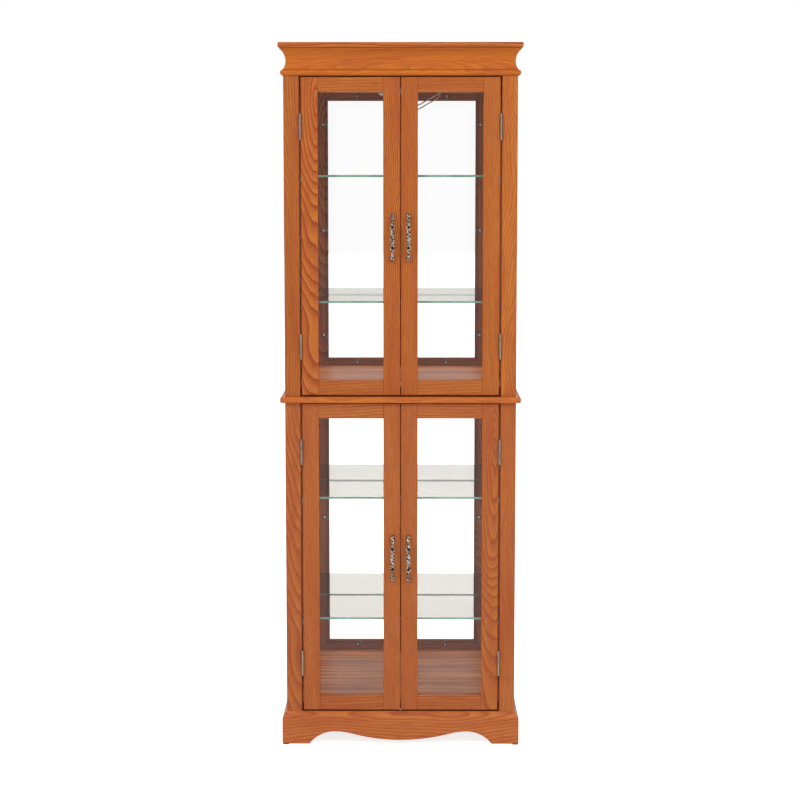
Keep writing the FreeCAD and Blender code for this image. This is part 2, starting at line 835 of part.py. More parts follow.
def build_door_leaf():
    """A right door leaf with its bored knuckle, which turns on the pin."""
    body = new_body("door_leaf")
    leaf_plate(body, -1, DOOR_KNUCKLES, "knuckle_gap")
    half = "hinge_length / 2"
    for knuckle in DOOR_KNUCKLES:
        bottom = f"{knuckle} * knuckle_length - {half} + knuckle_gap"
        top = f"{knuckle + 1} * knuckle_length - {half} - knuckle_gap"
        pad(body, f"door_knuckle_{knuckle}", "xy", [("0", "0", "barrel_radius")], bottom, top)
    bore = [("0", "0", "pin_radius + pin_fit")]
    cut(body, "door_bore", "xy", bore, f"-{half}", half)
    return body


def build_frame_leaves():
    """Eight frame leaves, two for each door, on the inner faces of the posts."""
    right = build_frame_leaf()
    left = mirrored("left_frame_leaf", right)
    copies = []
    for side, sign, source in (("right", "1", right), ("left", "-1", left)):
        for section in SECTIONS:
            for end, height in hinge_heights(section):
                name = f"{section}_{side}_{end}_frame_leaf"
                copies.append(linked(name, source, f"{sign} * hinge_x", "hinge_y", height))
    node("frame_hinge_leaves", grouped("frame_hinge_leaves", copies))


def hinge_heights(section):
    return (
        ("low", f"{section}_door_bottom + hinge_inset"),
        ("high", f"{section}_door_top - hinge_inset"),
    )


def build_stile(section, name, left, right, rabbet_left, rabbet_right):
    """A full height door stile, eased all round its face, with a stopped rabbet behind."""
    body = new_body(f"{section}_{name}")
    bottom = f"{section}_door_bottom"
    top = f"{section}_door_top"
    outline = rectangle(left, "face_y", right, "door_back")
    board = pad(body, f"{section}_{name}_board", "xy", [outline], bottom, top)
    face = value_of("face_y")
    soften(
        body, "Chamfer", board, "door_edge_ease",
        lambda box: same(box.YMax, face) or not same(box.ZLength, 0),
    )
    span = rectangle(
        rabbet_left,
        f"{bottom} + rail_height - rabbet_width",
        rabbet_right,
        f"{top} - rail_height + rabbet_width",
    )
    cut(body, f"{section}_{name}_rabbet", "xz", [span], "rabbet_floor", "door_back")
    return body


def build_rail(section, end, edge, inward):
    """A door rail between the stiles, with a rabbet along the edge that faces the glass."""
    body = new_body(f"{section}_{end}_door_rail")
    shoulder = f"{edge} + {inward} * (rail_height - rabbet_width)"
    lip = f"{edge} + {inward} * rail_height"
    outline = [
        ("face_y", edge),
        ("door_back", edge),
        ("door_back", shoulder),
        ("rabbet_floor", shoulder),
        ("rabbet_floor", lip),
        ("face_y", lip),
    ]
    name = f"{section}_{end}_rail_length"
    rail = pad(body, name, "yz", [outline], "lock_stile_outer", "hinge_stile_inner")
    face = value_of("face_y")
    soften(body, "Chamfer", rail, "door_edge_ease", lambda box: same(box.YMax, face))
    return body


def clip_section(edge, outward):
    """An offset clip in section: a foot on the frame and a tongue on the back of the pane."""
    root = f"{edge} + {outward} * rabbet_width"
    toe = f"{edge} + {outward} * (rabbet_width - clip_tongue)"
    heel = f"{edge} + {outward} * (rabbet_width + clip_foot)"
    return toe, root, heel


def build_clips(section):
    """Offset clips that hold the pane: three on each stile and one on each rail."""
    body = new_body(f"{section}_clips")
    opening_bottom = f"{section}_door_bottom + rail_height"
    opening_top = f"{section}_door_top - rail_height"
    outer = "door_back + clip_plate"
    upright_loops = []
    for edge, outward in (("hinge_stile_inner", "1"), ("lock_stile_outer", "-1")):
        toe, root, heel = clip_section(edge, outward)
        upright_loops.append([
            (toe, "pane_back"),
            (root, "pane_back"),
            (root, "door_back"),
            (heel, "door_back"),
            (heel, outer),
            (toe, outer),
        ])
    heights = (
        f"{opening_bottom} + clip_end_inset",
        f"({opening_bottom} + {opening_top}) / 2",
        f"{opening_top} - clip_end_inset",
    )
    for number, height in enumerate(heights, 1):
        start = f"{height} - clip_width / 2"
        pad(body, f"{section}_clip_row_{number}", "xy", upright_loops, start, f"{start} + clip_width")
    level_loops = []
    for edge, outward in ((opening_top, "1"), (opening_bottom, "-1")):
        toe, root, heel = clip_section(edge, outward)
        level_loops.append([
            ("pane_back", toe),
            ("pane_back", root),
            ("door_back", root),
            ("door_back", heel),
            (outer, heel),
            (outer, toe),
        ])
    start = "(lock_stile_outer + hinge_stile_inner) / 2 - clip_width / 2"
    pad(body, f"{section}_rail_clips", "yz", level_loops, start, f"{start} + clip_width")
    return body


def build_pull(section):
    """A cast bow pull: round feet, thin necks, an open ring at each end and a leaf between.

    The outline is padded to the full projection and sawn from the side to a strap that slopes up
    from its feet to a flat middle. Its own origin is on the door's face."""
    body = new_body(f"{section}_pull")
    foot_z = "pull_length / 2 - pull_foot_radius"
    ring_z = "pull_ring_spacing / 2"
    leaf_half = "pull_leaf_length / 2"
    leaf_round = "(pull_leaf_length^2 / 4 + pull_leaf_width^2 / 4) / pull_leaf_width"
    neck = rectangle("-pull_neck_width / 2", f"-({foot_z})", "pull_neck_width / 2", foot_z)
    pad(body, f"{section}_pull_neck", "xz", [neck], "-pull_projection", "0")
    rings = [("0", f"{sign} * {ring_z}", "pull_ring_radius") for sign in ("1", "-1")]
    pad(body, f"{section}_pull_rings", "xz", rings, "-pull_projection", "0")
    leaf = [
        ("0", f"-{leaf_half}", leaf_round, LEFT_TURN),
        ("0", leaf_half, leaf_round, LEFT_TURN),
    ]
    pad(body, f"{section}_pull_leaf", "xz", [leaf], "-pull_projection", "0")
    holes = [("0", f"{sign} * {ring_z}", "pull_ring_hole") for sign in ("1", "-1")]
    cut(body, f"{section}_pull_holes", "xz", holes, "-pull_projection", "0")
    flat_z = "pull_flat_length / 2"
    outside = "-pull_projection - pull_saw_margin"
    before_bow = []
    for sign in ("1", "-1"):
        before_bow.append([
            ("-pull_strap_end", f"{sign} * ({foot_z})"),
            ("-pull_projection", f"{sign} * {flat_z}"),
            (outside, f"{sign} * {flat_z}"),
            (outside, f"{sign} * ({foot_z})"),
        ])
    behind_bow = [
        ("pull_strap_thickness - pull_strap_end", f"-({foot_z})"),
        ("pull_strap_thickness - pull_projection", f"-{flat_z}"),
        ("pull_strap_thickness - pull_projection", flat_z),
        ("pull_strap_thickness - pull_strap_end", foot_z),
        ("pull_saw_margin", foot_z),
        ("pull_saw_margin", f"-({foot_z})"),
    ]
    saw = ("-pull_ring_radius", "pull_ring_radius")
    cut(body, f"{section}_pull_front_saw", "yz", before_bow, *saw)
    cut(body, f"{section}_pull_back_saw", "yz", [behind_bow], *saw)
    feet = [("0", f"{sign} * ({foot_z})", "pull_foot_radius") for sign in ("1", "-1")]
    pad(body, f"{section}_pull_feet", "xz", feet, "-pull_foot_height", "0")
    middle = f"({section}_door_bottom + {section}_door_top) / 2"
    bind_place(body, "door_inner + pull_edge_distance", "face_y", middle)
    return body


def build_doors():
    """The four doors. The right ones are built and the left ones are their reflections."""
    door_leaf = build_door_leaf()
    for section in SECTIONS:
        bottom = f"{section}_door_bottom"
        top = f"{section}_door_top"
        pieces = {}
        pieces["hinge_stile"] = build_stile(
            section,
            "hinge_stile",
            "hinge_stile_inner",
            "door_outer",
            "hinge_stile_inner",
            "hinge_stile_inner + rabbet_width",
        )
        pieces["lock_stile"] = build_stile(
            section,
            "lock_stile",
            "door_inner",
            "lock_stile_outer",
            "lock_stile_outer - rabbet_width",
            "lock_stile_outer",
        )
        rails = [build_rail(section, "bottom", bottom, "1"), build_rail(section, "top", top, "-1")]
        pieces["rails"] = grouped(f"{section}_rails", rails)
        glass = new_body(f"{section}_pane")
        outline = rectangle(
            "lock_stile_outer - pane_lap",
            f"{bottom} + rail_height - pane_lap",
            "hinge_stile_inner + pane_lap",
            f"{top} - rail_height + pane_lap",
        )
        pad(glass, f"{section}_pane_sheet", "xz", [outline], "rabbet_floor", "pane_back")
        pieces["glass"] = glass
        pieces["glass_clips"] = build_clips(section)
        pieces["pull"] = build_pull(section)
        copies = []
        for end, height in hinge_heights(section):
            copies.append(linked(f"{section}_{end}_door_leaf", door_leaf, "hinge_x", "hinge_y", height))
        pieces["hinge_leaves"] = grouped(f"{section}_door_leaves", copies)
        strike = new_body(f"{section}_strike")
        strike_x = "door_inner + strike_edge_distance"
        strike_z = f"{section}_catch_top - strike_drop"
        plate = rectangle(strike_x, f"{strike_z} - strike_height", f"{strike_x} + strike_length", strike_z)
        pad(strike, f"{section}_strike_sheet", "xz", [plate], "door_back", "door_back + strike_thickness")
        pieces["strike_plate"] = strike
        for name, piece in pieces.items():
            node(f"{section}_right_door_{name}", piece)
            node(f"{section}_left_door_{name}", mirrored(f"{section}_left_{name}", piece))


def build_catches():
    """A double magnetic catch under the top of each section, behind the meeting doors.

    Its case hangs from a thin flange that is screwed up at both ends."""
    catches = []
    for section in SECTIONS:
        body = new_body(f"{section}_catch")
        top = f"{section}_catch_top"
        for part, length, height in (
            ("flange", "catch_length", "catch_flange"),
            ("case", "catch_case_length", "catch_height"),
        ):
            outline = rectangle(
                f"-{length} / 2", "catch_front", f"{length} / 2", "catch_front + catch_depth"
            )
            pad(body, f"{section}_catch_{part}", "xy", [outline], f"{top} - {height}", top)
        catches.append(body)
    node("magnetic_catches", grouped("magnetic_catches", catches))


def build_lamp():
    """A small lamp under the upper ceiling, with its lens let into the housing."""
    housing = new_body("lamp_housing")
    pad(housing, "lamp_case", "xy", [lamp_outline("0")], "lamp_bottom", "ceiling_bottom")
    recess = lamp_outline("lamp_wall")
    cut(housing, "lamp_recess", "xy", [recess], "lamp_bottom", "lamp_bottom + lens_seat")
    node("lamp_housing", housing)
    lens = new_body("lamp_lens")
    face = lamp_outline("(lamp_wall + lens_play)")
    pad(lens, "lens_block", "xy", [face], "lamp_bottom - lens_drop", "lamp_bottom + lens_seat")
    node("lamp_lens", lens)


def lamp_outline(margin):
    """The lamp's rectangle, drawn in by a margin all round."""
    return rectangle(
        f"lamp_offset - lamp_length / 2 + {margin}",
        f"lamp_y - lamp_depth / 2 + {margin}",
        f"lamp_right - {margin}",
        f"lamp_y + lamp_depth / 2 - {margin}",
    )


def lead_path(points):
    """Straight runs joined by arcs that touch both runs, and the radius of each arc."""
    edges = []
    radii = []
    start = points[0]
    for before, corner, after in zip(points, points[1:], points[2:]):
        back = (before - corner).normalize()
        ahead = (after - corner).normalize()
        half_turn = (math.pi - back.getAngle(ahead)) / 2
        setback = LEAD_BEND_SHARE * min((before - corner).Length, (after - corner).Length)
        radius = setback / math.tan(half_turn)
        centre = corner + (back + ahead).normalize() * (radius / math.cos(half_turn))
        first = corner + back * setback
        last = corner + ahead * setback
        middle = centre + (corner - centre).normalize() * radius
        edges.append(Part.LineSegment(start, first).toShape())
        edges.append(Part.Arc(first, middle, last).toShape())
        start = last
        radii.append(radius)
    edges.append(Part.LineSegment(start, points[-1]).toShape())
    return Part.Wire(edges), radii


def build_lead():
    """The lamp's slack lead, a six-sided tube along its route."""
    lamp_end = value_of("lamp_right")
    lamp_y = value_of("lamp_y")
    ceiling = value_of("ceiling_bottom")
    route = [FreeCAD.Vector(lamp_end + across, lamp_y, ceiling + up) for across, up in LEAD_ROUTE]
    path, radii = lead_path(route)
    radius = value_of("lead_diameter / 2")
    ring = []
    for side in range(LEAD_SIDES + 1):
        angle = math.tau * side / LEAD_SIDES
        ring.append(route[0] + FreeCAD.Vector(0, radius * math.cos(angle), radius * math.sin(angle)))
    lead = doc.addObject("Part::Feature", "lamp_lead")
    lead.Shape = path.makePipeShell([Part.makePolygon(ring)], True, False)
    lead.Placement = FreeCAD.Placement()
    area = LEAD_SIDES / 2 * radius * radius * math.sin(math.tau / LEAD_SIDES)
    print("lead length", round(path.Length, 1), "tightest bend", round(min(radii), 1))
    print("lead volume", round(lead.Shape.Volume), "expected", round(area * path.Length))
    node("lamp_lead", lead)


def check_and_write():
    """Refuse any failed object or broken solid, then write one file for each node."""
    doc.recompute()
    for thing in doc.Objects:
        if "Invalid" in thing.State or "Error" in thing.State:
            raise ValueError(f"{thing.Label} failed to build")
    for thing in nodes:
        shape = thing.Shape
        if shape.isNull() or not shape.isValid() or not shape.Solids:
            raise ValueError(f"{thing.Label} has no valid solid")
    os.makedirs("parts", exist_ok=True)
    for thing in nodes:
        thing.Shape.exportStep(f"parts/{thing.Label}.step")
    print(len(nodes), "nodes,", sum(len(thing.Shape.Solids) for thing in nodes), "solids")


build_plinth()
notched_board("lower_floor", "plinth_top", "lower_floor_top")
overhanging_board("waist_board", "waist_overhang", "waist_bottom", "waist_top", "waist_edge_radius")
notched_board("upper_floor", "waist_top", "upper_floor_top")
notched_board("ceiling_board", "ceiling_bottom", "crown_bottom")
build_crown()
overhanging_board("top_board", "top_board_overhang", "top_board_bottom", "cabinet_top", "top_edge_radius")
build_back_rails()
build_sides()
build_backs()
build_shelves()
build_frame_leaves()
build_doors()
build_catches()
build_lamp()
build_lead()
check_and_write()
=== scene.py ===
"""Looks of a tall glass cabinet: stained oak, clear and silvered glass, pewter pulls and fixings.

The cabinet's wood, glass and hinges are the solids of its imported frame, dressed here with finishes.
The bow pulls, the lamp's lead and every screw and nail are modelled here, in metres.
"""

import logging
import math
from collections.abc import Callable
from dataclasses import dataclass, field
from enum import Enum

import bpy
from mathutils import Euler, Matrix, Vector

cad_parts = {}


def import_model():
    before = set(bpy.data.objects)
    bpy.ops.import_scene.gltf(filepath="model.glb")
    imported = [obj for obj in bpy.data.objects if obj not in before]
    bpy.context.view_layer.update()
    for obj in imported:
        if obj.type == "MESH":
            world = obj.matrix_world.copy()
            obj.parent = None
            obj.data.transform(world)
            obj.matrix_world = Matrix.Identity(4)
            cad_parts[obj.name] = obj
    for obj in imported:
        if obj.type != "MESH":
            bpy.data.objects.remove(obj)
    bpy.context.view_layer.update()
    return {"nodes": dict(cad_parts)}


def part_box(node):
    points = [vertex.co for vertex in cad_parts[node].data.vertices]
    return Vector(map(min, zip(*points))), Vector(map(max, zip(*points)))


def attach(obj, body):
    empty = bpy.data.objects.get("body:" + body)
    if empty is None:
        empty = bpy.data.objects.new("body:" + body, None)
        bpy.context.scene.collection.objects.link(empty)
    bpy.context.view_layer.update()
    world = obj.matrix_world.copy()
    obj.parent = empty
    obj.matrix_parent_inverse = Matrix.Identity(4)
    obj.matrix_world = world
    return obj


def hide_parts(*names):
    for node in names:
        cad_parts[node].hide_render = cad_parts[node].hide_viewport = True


LOG = logging.getLogger("glass_cabinet")
MM = 0.001
CLEAR_LAYERS = 40
BACKWARDS = (0.0, 1.0, 0.0)
Point = tuple[float, float, float]
Tree = bpy.types.NodeTree
Piece = bpy.types.Object
# what a node's input can be linked to: an output socket, or a node for its first output
Source = bpy.types.NodeSocket | bpy.types.Node


@dataclass(frozen=True)
class Door:
    """One of the four doors: its section, its side and the sign of that side on the X axis."""

    section: str
    side: str
    sign: int

    @property
    def name(self) -> str:
        """The name of the door's body."""
        return f"{self.section}_{self.side}_door"


DOORS = [
    Door(section, side, sign)
    for section in ("upper", "lower")
    for side, sign in (("left", -1), ("right", 1))
]


class Grain(Enum):
    """The way that a board's fibres run."""

    UP = "up"
    ACROSS = "across"
    DEEP = "deep"


class Broad(Enum):
    """The axis that a sheet's broad faces look along."""

    X = "X"
    Y = "Y"
    Z = "Z"


GRAIN_TURN: dict[Grain, Point] = {
    Grain.UP: (0.0, 0.0, 0.0),
    Grain.ACROSS: (0.0, -math.pi / 2, 0.0),
    Grain.DEEP: (math.pi / 2, 0.0, 0.0),
}
GRAIN_AXIS: dict[Grain, Point] = {
    Grain.UP: (0.0, 0.0, 1.0),
    Grain.ACROSS: (1.0, 0.0, 0.0),
    Grain.DEEP: (0.0, 1.0, 0.0),
}


# ---------------------------------------------------------------- colours and nodes


def colour(code: str, factor: float = 1.0) -> tuple[float, float, float, float]:
    """Turn an sRGB hex colour into the linear one that a socket takes.

    Args:
        code: Six hex digits, as in "b4652f".
        factor: A share by which the linear colour is made lighter or darker.

    Returns:
        Red, green, blue and alpha.
    """
    parts = []
    for start in (0, 2, 4):
        value = int(code[start : start + 2], 16) / 255
        value = value / 12.92 if value <= 0.04045 else ((value + 0.055) / 1.055) ** 2.4
        parts.append(min(value * factor, 1.0))
    return (parts[0], parts[1], parts[2], 1.0)


def add_node(
    tree: Tree,
    kind: str,
    inputs: dict | None = None,
    stops: list | None = None,
    **settings: object,
) -> bpy.types.Node:
    """Add a node with its settings, and set or link its inputs.

    Args:
        tree: The material's or world's node tree.
        kind: The node's type, such as "ShaderNodeTexNoise".
        inputs: Values, output sockets or nodes by input name or number. A node stands for its
            first output.
        stops: A colour ramp's stops, as pairs of position and colour.
        settings: The node's own properties.

    Returns:
        The new node.
    """
    node = tree.nodes.new(kind)
    for name, value in settings.items():
        setattr(node, name, value)
    if stops:
        ramp = node.color_ramp
        while len(ramp.elements) < len(stops):
            ramp.elements.new(0.5)
        for element, (place, shade) in zip(ramp.elements, stops):
            element.position = place
            element.color = shade
    for name, value in (inputs or {}).items():
        if isinstance(value, bpy.types.Node):
            value = value.outputs[0]
        if isinstance(value, bpy.types.NodeSocket):
            tree.links.new(value, node.inputs[name])
        else:
            node.inputs[name].default_value = value
    return node


@dataclass(frozen=True)
class Finish:
    """A named surface finish. Each kind of finish says how it is shaded."""

    name: str

    def shade(self, tree: Tree) -> Source:
        """Return the finished shader."""
        raise NotImplementedError

    def material(self) -> bpy.types.Material:
        """Make the finish as a material, once for each name.

        Returns:
            The material, the same one at every call.
        """
        known = bpy.data.materials.get(self.name)
        if known is not None and known.get("finished"):
            return known
        made = bpy.data.materials.new(self.name)
        made.use_nodes = True
        made.node_tree.nodes.clear()
        shader = self.shade(made.node_tree)
        add_node(made.node_tree, "ShaderNodeOutputMaterial", {"Surface": shader})
        made["finished"] = True
        return made

    def dress(self, piece: Piece) -> None:
        """Give the finish to every material slot of a piece.

        Args:
            piece: An object of the cabinet.
        """
        if not piece.material_slots:
            piece.data.materials.append(None)
        for slot in piece.material_slots:
            slot.material = self.material()


# ---------------------------------------------------------------- finishes


# early wood is a dark porous line that fades into the plain late wood
RING_TONES = (
    (0.0, "843b1b"),
    (0.12, "934524"),
    (0.30, "ab5b29"),
    (0.66, "b7692d"),
    (0.90, "bd7130"),
    (0.985, "a65627"),
)


@dataclass(frozen=True)
class StainedOak(Finish):
    """Red oak, planed and sanded, wiped with a golden brown stain under satin lacquer.

    The eye gets golden brown wood with thin reddish growth lines that sweep into flames where the
    board is cut flat, fine open pores along the grain, slow streaks of tone, dark end grain and a
    soft sheen. Growth rings of real oak are 2 to 4 mm wide. Most posts and stiles keep to
    that, and the other boards have them drawn wider, so that they show.

    Attributes:
        grain: The way that the fibres run.
        pith: The place of the tree's heart, in metres.
        tilt: The heart's lean, in radians.
        ring: The width of a growth ring in millimetres.
        tone: How much lighter or darker than usual the board is drawn: the stain's own unevenness on
            most boards, and painted light on the floors.
        wander: How far the growth lines stray.
        cross_zone: The span on the Y axis where rails run from front to back, in metres.
        calm: The share by which the stain evens out the growth lines of straight grain.
        even: The tone that it evens them out to.
        painted_shade_heights: Heights of thin lines of painted shade in the corners of a moulding, in
            millimetres.
        streak: The width of the painted streaks of reflection along the board, in millimetres.
        sway: How far the heart wanders as it climbs, in metres.
    """

    grain: Grain = Grain.UP
    pith: Point = (0.0, 0.0, 0.0)
    tilt: tuple[float, float] = (0.0, 0.0)
    ring: float = 6.0
    tone: float = 1.0
    wander: float = 3.0
    cross_zone: tuple[float, float] | None = None
    calm: float = 0.0
    even: str = "b4662a"
    painted_shade_heights: tuple[float, ...] = ()
    streak: float = 0.0
    sway: Point = (0.03, 0.07, 0.0)

    def log_space(self, tree: Tree, place: bpy.types.Node, grain: Grain) -> Source:
        """Turn the board's own coordinates so that the tree's heart lies on the Z axis.

        Args:
            tree: The material's node tree.
            place: The Texture Coordinate node.
            grain: The way that the fibres run.

        Returns:
            Places in the tree's own space.
        """
        turn = Euler(GRAIN_TURN[grain]).to_matrix()
        lean = Euler((self.tilt[0], self.tilt[1], 0.0)).to_matrix()
        both = lean @ turn
        return add_node(
            tree,
            "ShaderNodeMapping",
            {
                "Vector": place.outputs["Object"],
                "Location": -(both @ Vector(self.pith)),
                "Rotation": both.to_euler(),
            },
        )

    def fibres(self, tree: Tree, place: bpy.types.Node) -> tuple[Source, Source]:
        """Follow the fibres, which turn where a side frame's rails run from front to back.

        Args:
            tree: The material's node tree.
            place: The Texture Coordinate node.

        Returns:
            Places with the tree's heart on the Z axis, and how squarely a face cuts the fibres.
        """
        grains = [self.grain] if self.cross_zone is None else [self.grain, Grain.DEEP]
        logs = [self.log_space(tree, place, grain) for grain in grains]
        cuts = []
        for grain in grains:
            cut = add_node(
                tree,
                "ShaderNodeVectorMath",
                {0: place.outputs["Normal"], 1: GRAIN_AXIS[grain]},
                operation="DOT_PRODUCT",
            )
            cuts.append(cut.outputs["Value"])
        if self.cross_zone is None:
            return logs[0], cuts[0]
        near, far = self.cross_zone
        back = add_node(tree, "ShaderNodeSeparateXYZ", {0: place.outputs["Object"]}).outputs["Y"]
        span = {0: back, 1: (near + far) / 2, 2: (far - near) / 2}
        inside = add_node(tree, "ShaderNodeMath", span, operation="COMPARE")
        log = add_node(
            tree, "ShaderNodeMix", {0: inside, 4: logs[0], 5: logs[1]}, data_type="VECTOR"
        ).outputs[1]
        cut = add_node(
            tree, "ShaderNodeMix", {0: inside, 2: cuts[0], 3: cuts[1]}, data_type="FLOAT"
        )
        return log, cut

    def bend(self, tree: Tree, log: Source) -> Source:
        """Let the tree's heart wander as it climbs, so that flames open, close and turn.

        Args:
            tree: The material's node tree.
            log: Places with the heart on the Z axis.

        Returns:
            The bent places.
        """
        # slow turns some 300 mm long, and ripples 9 mm wide and 57 mm long
        climb = add_node(tree, "ShaderNodeMapping", {"Vector": log, "Scale": (0.0, 0.0, 1.0)})
        seed = 37.0 * self.pith[0] + 61.0 * self.pith[1] + 13.0 * self.pith[2]
        slow = add_node(
            tree,
            "ShaderNodeTexNoise",
            {"Vector": climb, "W": seed, "Scale": 3.2, "Detail": 1.0},
            noise_dimensions="4D",
        ).outputs["Color"]
        ripple = add_node(tree, "ShaderNodeMapping", {"Vector": log, "Scale": (1.0, 1.0, 0.16)})
        quick = add_node(
            tree, "ShaderNodeTexNoise", {"Vector": ripple, "Scale": 110.0, "Detail": 2.0}
        ).outputs["Color"]
        bent = log
        for noise, reach in ((slow, self.sway), (quick, (0.0022, 0.0022, 0.0))):
            centred = add_node(
                tree, "ShaderNodeVectorMath", {0: noise, 1: (0.5, 0.5, 0.5)}, operation="SUBTRACT"
            )
            bent = add_node(
                tree,
                "ShaderNodeVectorMath",
                {0: centred, 1: reach, 2: bent},
                operation="MULTIPLY_ADD",
            )
        return bent

    def painted_crease_shade(self, tree: Tree, place: bpy.types.Node, tone: Source, height: float) -> Source:
        """Darken a thin line at one height: painted shade in the corner of a moulding.

        Args:
            tree: The material's node tree.
            place: The Texture Coordinate node.
            tone: The wood's colour.
            height: The corner's height above the floor in millimetres.

        Returns:
            The darkened colour.
        """
        up = add_node(tree, "ShaderNodeSeparateXYZ", {0: place.outputs["Object"]}).outputs["Z"]
        off = add_node(tree, "ShaderNodeMath", {0: up, 1: height * MM}, operation="SUBTRACT")
        away = add_node(tree, "ShaderNodeMath", {0: off}, operation="ABSOLUTE")
        share = add_node(
            tree,
            "ShaderNodeMapRange",
            {
                "Value": away,
                "From Min": 0.6 * MM,
                "From Max": 2.4 * MM,
                "To Min": 0.5,
                "To Max": 0.0,
            },
        )
        return add_node(
            tree,
            "ShaderNodeMix",
            {0: share, 6: tone, 7: colour("6b2c10", self.tone)},
            data_type="RGBA",
        ).outputs[2]

    def painted_reflection_streaks(self, tree: Tree, log: Source, tone: Source) -> Source:
        """Paint long light and dark streaks along the grain, a painted reflection of the gloss on the
        board's top.

        Args:
            tree: The material's node tree.
            log: Places with the fibres along the Z axis.
            tone: The wood's colour.

        Returns:
            The colour with the painted streaks.
        """
        drawn = add_node(tree, "ShaderNodeMapping", {"Vector": log, "Scale": (1.0, 1.0, 0.04)})
        band = add_node(
            tree,
            "ShaderNodeTexNoise",
            {"Vector": drawn, "Scale": 1.0 / (self.streak * MM), "Detail": 2.0},
        )
        shades = add_node(
            tree,
            "ShaderNodeValToRGB",
            {"Fac": band},
            stops=[(0.38, colour("702c12", self.tone)), (0.62, colour("cc8a54", self.tone))],
        )
        return add_node(
            tree, "ShaderNodeMix", {0: 0.45, 6: tone, 7: shades}, data_type="RGBA"
        ).outputs[2]

    def inward(self, tree: Tree, place: bpy.types.Node) -> Source:
        """Mask the faces that look to the cabinet's middle, into the narrow gaps, which took little
        lacquer and are darkened with painted shade.

        Args:
            tree: The material's node tree.
            place: The Texture Coordinate node.

        Returns:
            1 on those faces, 0 elsewhere.
        """
        spot = add_node(tree, "ShaderNodeSeparateXYZ", {0: place.outputs["Object"]}).outputs["X"]
        look = add_node(tree, "ShaderNodeSeparateXYZ", {0: place.outputs["Normal"]}).outputs["X"]
        both = add_node(tree, "ShaderNodeMath", {0: spot, 1: look}, operation="MULTIPLY")
        return add_node(tree, "ShaderNodeMath", {0: both, 1: -0.1 * MM}, operation="LESS_THAN")

    def growth(self, tree: Tree, rings: Source) -> Source:
        """Colour the growth rings, evened out where the board is calm.

        Args:
            tree: The material's node tree.
            rings: How far a place is through its year's ring, from 0 to 1.

        Returns:
            The wood's colour before pores and blotches.
        """
        stops = [(place, colour(code, self.tone)) for place, code in RING_TONES]
        lines = add_node(tree, "ShaderNodeValToRGB", {"Fac": rings}, stops=stops)
        if not self.calm:
            return lines
        return add_node(
            tree,
            "ShaderNodeMix",
            {0: self.calm, 6: lines, 7: colour(self.even, self.tone)},
            data_type="RGBA",
        ).outputs[2]

    def shade(self, tree: Tree) -> Source:
        """Growth rings, pores, blotches and end grain under a satin coat.

        Args:
            tree: The material's node tree.

        Returns:
            The finished shader.
        """
        place = add_node(tree, "ShaderNodeTexCoord")
        log, cut = self.fibres(tree, place)
        bent = self.bend(tree, log)
        drawn = add_node(tree, "ShaderNodeMapping", {"Vector": bent, "Scale": (1.0, 1.0, 0.07)})
        rings = add_node(
            tree,
            "ShaderNodeTexWave",
            {
                "Vector": drawn,
                "Scale": 0.314 / (self.ring * MM),
                "Distortion": self.wander,
                "Detail": 3.0,
                "Detail Scale": 0.45,
                "Detail Roughness": 0.6,
            },
            wave_type="RINGS",
            rings_direction="Z",
            wave_profile="SAW",
        ).outputs["Fac"]
        fibre = add_node(tree, "ShaderNodeMapping", {"Vector": log, "Scale": (1.0, 1.0, 0.035)})
        # pores of 0.3 mm are drawn 1.2 mm wide and some 35 mm long, and blotches are 30 mm wide
        pores, blotch = (
            add_node(
                tree,
                "ShaderNodeTexNoise",
                {"Vector": space, "Scale": scale, "Detail": detail, "Roughness": 0.7},
            )
            for space, scale, detail in ((fibre, 800.0, 2.0), (drawn, 34.0, 4.0))
        )
        square = add_node(tree, "ShaderNodeMath", {0: cut, 1: cut}, operation="MULTIPLY")
        tone = self.growth(tree, rings)
        masks = {}
        # what shows, from where it starts to where it is full, its most and its tone
        for name, share, low, high, most, stain in (
            ("blotch", blotch, 0.38, 0.68, 0.6, "9a4626"),
            ("pore", pores, 0.5, 0.72, 0.5, "763014"),
            ("end grain", square, 0.6, 0.95, 0.6, "6b2e0f"),
        ):
            masks[name] = add_node(
                tree,
                "ShaderNodeMapRange",
                {"Value": share, "From Min": low, "From Max": high, "To Min": 0.0, "To Max": most},
            )
            tone = add_node(
                tree,
                "ShaderNodeMix",
                {0: masks[name], 6: tone, 7: colour(stain, self.tone)},
                data_type="RGBA",
            ).outputs[2]
        # painted streaks of reflection on the floors' tops
        if self.streak:
            tone = self.painted_reflection_streaks(tree, log, tone)
        # thin lines of painted shade in the corners of the moulding
        for shade_height in self.painted_shade_heights:
            tone = self.painted_crease_shade(tree, place, tone, shade_height)
        inner = self.inward(tree, place)
        # faces that look into the gaps are evened to a darker red brown, painted shade of the narrow
        # gaps
        painted_gap_shade = add_node(tree, "ShaderNodeMath", {0: inner, 1: 0.55}, operation="MULTIPLY")
        gap_shaded_tone = add_node(
            tree,
            "ShaderNodeMix",
            {0: painted_gap_shade, 6: tone, 7: colour("a8592b", self.tone)},
            data_type="RGBA",
        ).outputs[2]
        sunk = {0: masks["pore"], 1: -0.8, 2: rings}
        height = add_node(tree, "ShaderNodeMath", sunk, operation="MULTIPLY_ADD")
        relief = add_node(
            tree, "ShaderNodeBump", {"Strength": 0.18, "Distance": 0.0003, "Height": height}
        )
        sheen = add_node(
            tree, "ShaderNodeMapRange", {"Value": blotch, "To Min": 0.36, "To Max": 0.52}
        )
        matt = add_node(
            tree,
            "ShaderNodeMath",
            {0: inner, 1: 0.5, 2: sheen},
            operation="MULTIPLY_ADD",
            use_clamp=True,
        )
        return add_node(
            tree,
            "ShaderNodeBsdfPrincipled",
            {
                "Base Color": gap_shaded_tone,
                "Roughness": matt,
                "Normal": relief,
                "Specular IOR Level": 0.12,
                "Coat Weight": 0.03,
                "Coat Roughness": 0.3,
            },
        )


